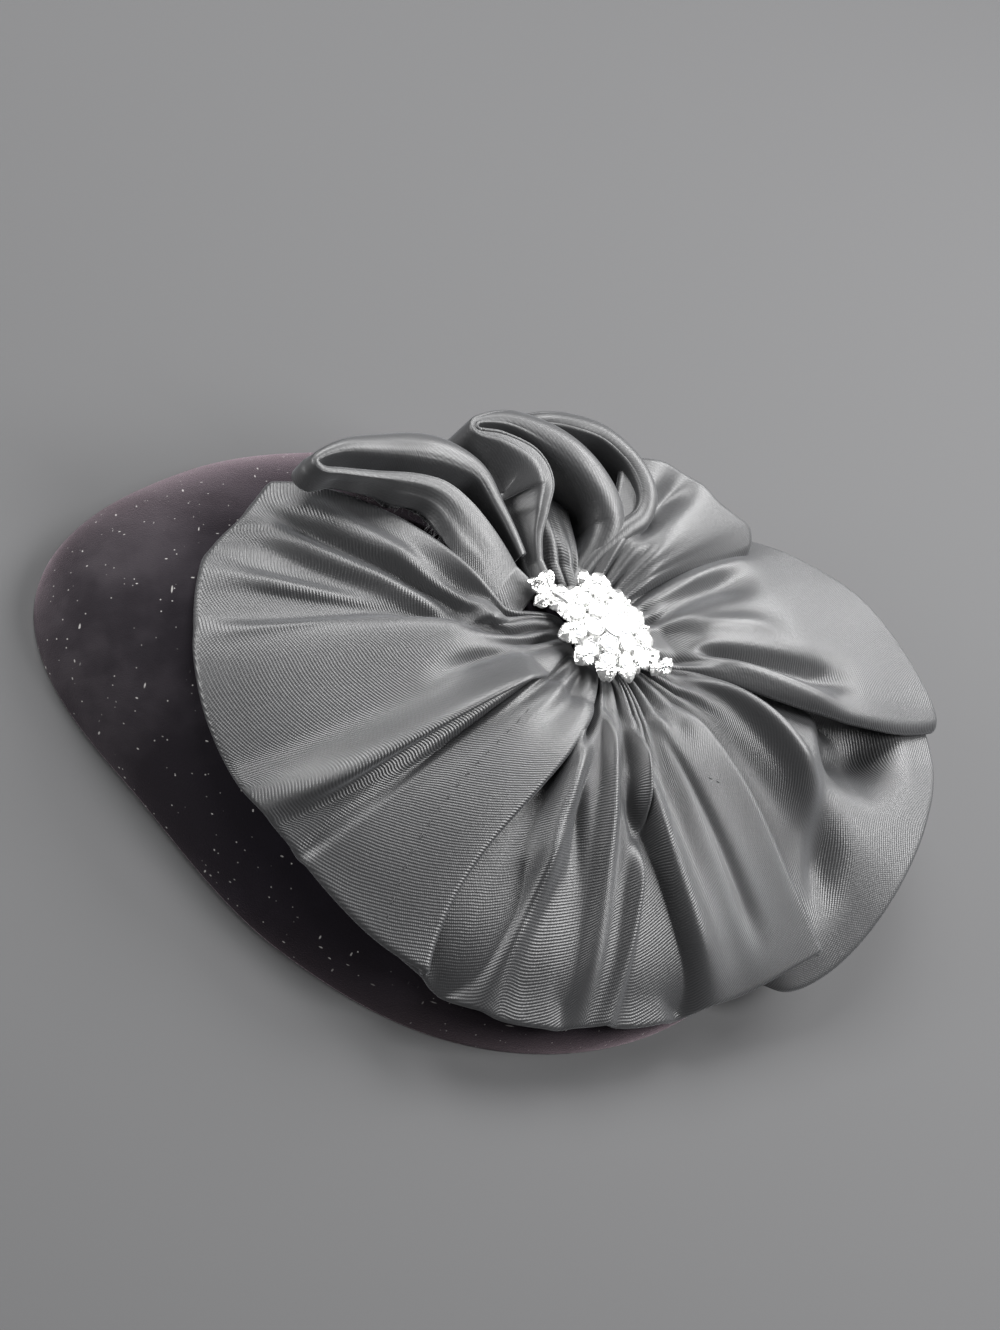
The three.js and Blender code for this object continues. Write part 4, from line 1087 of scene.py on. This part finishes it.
def leaf_grid(sizes, brooch, row, along=26, around=22):
    """A leaf: an oval section carried from tip to tip, its half width as the sine of the way along to
    the 0.7, raised along its middle rib and in a low arch, with a scalloped edge."""
    x0, y0, bearing, long, wide = row
    size = brooch.length
    c, s = cos_sin(bearing)
    way = np.linspace(0, 1, along)[None, :]
    turn = np.linspace(0, 2 * np.pi, around, endpoint=False)[:, None]
    half = wide * size / 2 * np.sin(np.pi * way**0.85) ** 0.7 * (1 + 0.07 * np.cos(14 * np.pi * way))
    across = np.cos(turn) * half
    rib = np.exp(-((np.cos(turn) / 0.22) ** 2))
    veins = 0.12 * np.cos(16 * np.pi * way - 5 * np.abs(np.cos(turn)))
    thick = brooch.plate * (0.55 + 0.55 * rib * (np.sin(turn) > 0) + veins * (np.sin(turn) > 0))
    arch = brooch.plate * (0.6 + 0.9 * np.sin(np.pi * way))
    z = setting_height(sizes, brooch) + arch + np.sin(turn) * thick * np.sin(np.pi * way) ** 0.4
    forward = (way - 0.48) * long * size * 1.12
    x = x0 * size + forward * c - across * s
    y = y0 * size + forward * s + across * c
    return from_gather(sizes, x, y, z)


class HAT_OT_brooch(bpy.types.Operator):
    """Brooch: veined leaves, stems, a domed plate, a cup for each stone and rows of tiny beads"""

    bl_idname = "hat.brooch"
    bl_label = "Brooch"

    def execute(self, context):
        sizes, brooch = context.scene.hat_sizes, context.scene.brooch_sizes
        made = finishes()
        place, width, facing = stone_seats(sizes, brooch)
        leaves = [leaf_grid(sizes, brooch, row) for row in LEAVES + self.petals()]
        dome = self.dome(sizes, brooch)
        stems = tube_grids(self.stems(sizes, brooch), brooch.length * STEM_RADIUS, 12)
        beads = spun(*self.beads(sizes, brooch), BEAD_PROFILE, 7)
        grids = [*leaves, dome, *stems, *beads]
        metal = surface_mesh("brooch_metal", grids, wrap=True, poles=(True, True))
        dress(metal, made["silver"], "silver", "brooch_setting")
        cups = spun(place, width, facing, CUP_PROFILE, 26)
        dress(surface_mesh("brooch_cups", cups, wrap=True), made["silver"], "silver")
        stones = spun(place, width, facing, STONE_PROFILE, 8, STONE_TURNS)
        obj = surface_mesh("brooch_stones", stones, wrap=True, poles=(True, True), smooth=False)
        dress(obj, made["crystal"], "crystal", *STONES)
        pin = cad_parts["brooch_pin"]
        pin.data.materials.clear()
        pin.data.materials.append(made["silver"])
        return {"FINISHED"}

    def petals(self):
        """Leaf rows: a round petal under each outer stone of the cluster, and the spray's petals."""
        count, ring, first = STONE_RINGS[-1]
        angle = first + 360 * np.arange(count) / count
        out = ring + 0.045
        c, s = cos_sin(angle)
        rows = zip(CLUSTER[0] + out * c, CLUSTER[1] + out * s, angle)
        return [[x, y, bearing, 0.14, 0.15] for x, y, bearing in rows] + SPRAY_PETALS

    def dome(self, sizes, brooch):
        """The plate under the cluster: a flat underside and a low dome, spun about its middle."""
        radius = CLUSTER_RADIUS * brooch.length
        share = np.array([0, 0.5, 0.94, 1, 1, 0.94, 0.8, 0.6, 0.4, 0.2, 0])
        base = setting_height(sizes, brooch)
        top = base + brooch.plate * 0.9 + brooch.dome * (1 - (share / 1.25) ** 2) - 0.0004
        z = np.where(np.arange(len(share)) < 3, base, top)
        z[3] = base + brooch.plate * 0.3
        angle = np.linspace(0, 2 * np.pi, 64, endpoint=False)[:, None]
        x = CLUSTER[0] * brooch.length + radius * share * np.cos(angle)
        y = CLUSTER[1] * brooch.length + radius * share * np.sin(angle)
        return from_gather(sizes, x, y, z)

    def stems(self, sizes, brooch):
        """Each stem's middle line, bowed a little to one side and upwards."""
        paths = []
        t = np.linspace(0, 1, 14)
        bow = 0.02 * np.sin(np.pi * t)
        for x0, y0, x1, y1 in STEMS:
            x = (x0 + (x1 - x0) * t + (y1 - y0) * bow) * brooch.length
            y = (y0 + (y1 - y0) * t - (x1 - x0) * bow) * brooch.length
            z = setting_height(sizes, brooch) + brooch.plate * (0.9 + 0.5 * np.sin(np.pi * t))
            paths.append(from_gather(sizes, x, y, z))
        return paths

    def beads(self, sizes, brooch):
        """Tiny beads along each leaf's rib and round the cluster between the rings of stones."""
        rows = []
        for x0, y0, bearing, long, _ in LEAVES:
            c, s = cos_sin(bearing)
            for t in (-0.22, -0.08, 0.06, 0.2):
                rows.append((x0 + t * long * c, y0 + t * long * s, 2.1 + 0.5 * math.cos(6 * t)))
        for ring, count in BEAD_RINGS:
            for k in range(count):
                c, s = cos_sin(360 * (k + 0.5) / count)
                rows.append((CLUSTER[0] + ring * c, CLUSTER[1] + ring * s, None))
        place = []
        for x, y, over in rows:
            x, y = x * brooch.length, y * brooch.length
            top = brooch_top(sizes, brooch, x, y) + 0.0001
            z = setting_height(sizes, brooch) + brooch.plate * over if over else top
            place.append(from_gather(sizes, x, y, z))
        count = len(place)
        return np.array(place), np.full(count, BEAD_WIDTH), np.tile([0.0, 0.0, 1.0], (count, 1))


FRAY_RADIUS = 0.00007
STITCH_RADIUS = 0.00014


class HAT_OT_threads(bpy.types.Operator):
    """Loose threads of the left loop's raw edge, and a few tacking stitches"""

    bl_idname = "hat.threads"
    bl_label = "Threads and stitches"

    def execute(self, context):
        sizes, brooch = context.scene.hat_sizes, context.scene.brooch_sizes
        loop = loop_surface(sizes, brooch, LOOP_LEFT)
        fan, _ = fan_surface(sizes, brooch, FAN_LEFT)
        front, _ = fan_surface(sizes, brooch, FAN_FRONT)
        seam = self.dashes(fan, (0.785, 0.9), (0.3, 0.98), 17)
        tacks = self.dashes(front, (0.86, 0.9), (0.42, 0.46), 2)
        drawn = {
            "ribbon_loop_left_threads": tube_grids(self.frays(loop, 150), FRAY_RADIUS, 4),
            "ribbon_fan_left_stitches": tube_grids(seam, STITCH_RADIUS),
            "ribbon_fan_front_stitches": tube_grids(tacks, STITCH_RADIUS),
        }
        for name, grids in drawn.items():
            dress(surface_mesh(name, grids, wrap=True), finishes()["thread"], "satin")
        return {"FINISHED"}

    def frays(self, loop, count):
        """Short bent threads that stand out from the front part of the loop's lower edge."""
        chance = np.random.default_rng(7)
        front = loop[: int(len(loop) * 0.4)]
        edge, back = front[:, -1], front[:, -6]
        t = np.linspace(-0.15, 1, 6)[:, None]
        paths = []
        for k in chance.integers(3, len(edge) - 3, count):
            way = unit(edge[k] - back[k]) * chance.uniform(0.0008, 0.0028)
            sway = chance.normal(0, 0.0005, 3)
            paths.append(edge[k] + way * t + sway * t**2 + np.array([0, 0, 0.0004]) * t)
        return paths

    def dashes(self, points, across, along, count):
        """Short arcs on the cloth, on a straight line between two places on its grid."""
        normal = upward_normals(points)
        last_u, last_v = points.shape[0] - 1, points.shape[1] - 1
        over = (0.00042 + 0.00008 * np.sin(np.linspace(0, np.pi, 6)))[:, None]
        paths = []
        for start in np.linspace(0, 1, count, endpoint=False):
            t = start + np.linspace(0, 0.55 / count, 6)
            i = np.round((across[0] + (across[1] - across[0]) * t) * last_u).astype(int)
            j = (along[0] + (along[1] - along[0]) * t) * last_v
            low = np.floor(j).astype(int)
            f = (j - low)[:, None]
            place = points[i, low] * (1 - f) + points[i, np.minimum(low + 1, last_v)] * f
            paths.append(place + normal[i, low] * over)
        return paths


# Stage

# The camera looks at the photo's angle: bearing, height above the floor and turn of the picture, in
# degrees, its distance, its focal length over a 36 mm frame of 1330 lines, and the line and row of
# the 1000 by 1330 picture at which the hat's middle is seen.
VIEW = {
    "bearing": -39.7, "above": 48.0, "turn": 48.0, "distance": 0.62, "focal": 2480.0, "at": (440, 720),
}
PICTURE = (1000, 1330)
FILM = 36


def camera_axes():
    """Right, up and backward vectors of the camera, in the frame."""
    az, el, roll = (math.radians(VIEW[k]) for k in ("bearing", "above", "turn"))
    back = Vector((math.sin(az) * math.cos(el), -math.cos(az) * math.cos(el), math.sin(el)))
    level_up = (Vector((0, 0, 1)) - back * back.z).normalized()
    level_right = level_up.cross(back)
    up = level_up * math.cos(roll) - level_right * math.sin(roll)
    right = level_right * math.cos(roll) + level_up * math.sin(roll)
    return right, up, back


class HAT_OT_stage(bpy.types.Operator):
    """Grey floor, soft lights, and the camera at the photo's angle"""

    bl_idname = "hat.stage"
    bl_label = "Stage"

    def execute(self, context):
        scene = context.scene
        right, up, back = camera_axes()
        middle = Vector(to_row([0, 0, 0]))
        scale = VIEW["distance"] / VIEW["focal"]
        aside, below = ((VIEW["at"][k] - PICTURE[k] / 2) * scale for k in (0, 1))
        eye = back * VIEW["distance"] - right * aside + up * below + middle
        data = bpy.data.cameras.new("camera")
        data.sensor_width = FILM
        data.lens = VIEW["focal"] / PICTURE[1] * FILM
        data.clip_start = 0.02
        camera = bpy.data.objects.new("camera", data)
        axes = [(right[k], up[k], back[k], eye[k]) for k in range(3)]
        camera.matrix_world = Matrix((*axes, (0, 0, 0, 1)))
        scene.collection.objects.link(camera)
        scene.camera = camera
        self.floor(scene)
        self.light("light_top", up * 0.7 + back * 0.35 + right * 0.15, 0.4, 8.0)
        self.light("light_right", right * 0.7 + back * 0.3 + up * 0.1, 0.3, 7.2)
        self.light("light_back", Vector((0.46, 0.42, 0.5)), 0.35, 6.5)
        self.light("light_left", right * -0.6 + back * 0.6 + up * 0.3, 0.45, 7.6)
        world = bpy.data.worlds.new("studio")
        world.use_nodes = True
        background = world.node_tree.nodes["Background"]
        background.inputs["Color"].default_value = (0.5, 0.5, 0.52, 1)
        background.inputs["Strength"].default_value = 0.12
        scene.world = world
        scene.view_settings.view_transform = "Standard"
        return {"FINISHED"}

    def floor(self, scene):
        """A square, a tenth of a millimetre under the rim."""
        reach = 4.0
        points = np.array([[[x, y, -0.0001] for y in (-reach, reach)] for x in (-reach, reach)])
        floor = surface_mesh("floor", points)
        floor.data.materials.append(finishes()["floor"])

    def light(self, name, place, size, power):
        """A square lamp of a size in metres and a power in watts, aimed at the hat."""
        data = bpy.data.lights.new(name, "AREA")
        data.size = size
        data.energy = power
        lamp = bpy.data.objects.new(name, data)
        lamp.location = place
        lamp.rotation_mode = "QUATERNION"
        lamp.rotation_quaternion = (place - Vector((0, 0, 0.03))).to_track_quat("Z", "Y")
        bpy.context.scene.collection.objects.link(lamp)


class HAT_PT_panel(bpy.types.Panel):
    """The hat's pieces, sizes and colours"""

    bl_idname = "HAT_PT_panel"
    bl_label = "Cocktail hat"
    bl_space_type = "VIEW_3D"
    bl_region_type = "UI"
    bl_category = "Hat"

    def draw(self, context):
        layout = self.layout
        for operator in OPERATORS:
            layout.operator(operator.bl_idname)
        for group in (context.scene.hat_sizes, context.scene.brooch_sizes, context.scene.hat_colours):
            box = layout.box()
            for name in group.bl_rna.properties.keys():
                if name not in ("rna_type", "name"):
                    box.prop(group, name)


OPERATORS = (HAT_OT_crown, HAT_OT_fans, HAT_OT_loops, HAT_OT_brooch, HAT_OT_threads, HAT_OT_stage)
GROUPS = {"hat_sizes": HatSizes, "brooch_sizes": BroochSizes, "hat_colours": HatColours}


def register():
    for made in (*GROUPS.values(), *OPERATORS, HAT_PT_panel):
        bpy.utils.register_class(made)
    for name, group in GROUPS.items():
        setattr(bpy.types.Scene, name, PointerProperty(type=group))


def unregister():
    for name in GROUPS:
        delattr(bpy.types.Scene, name)
    for made in reversed((*GROUPS.values(), *OPERATORS, HAT_PT_panel)):
        bpy.utils.unregister_class(made)


def main():
    register()
    bpy.ops.hat.crown()
    bpy.ops.hat.fans()
    bpy.ops.hat.loops()
    bpy.ops.hat.brooch()
    bpy.ops.hat.threads()
    bpy.ops.hat.stage()


if __name__ == "__main__":
    main()
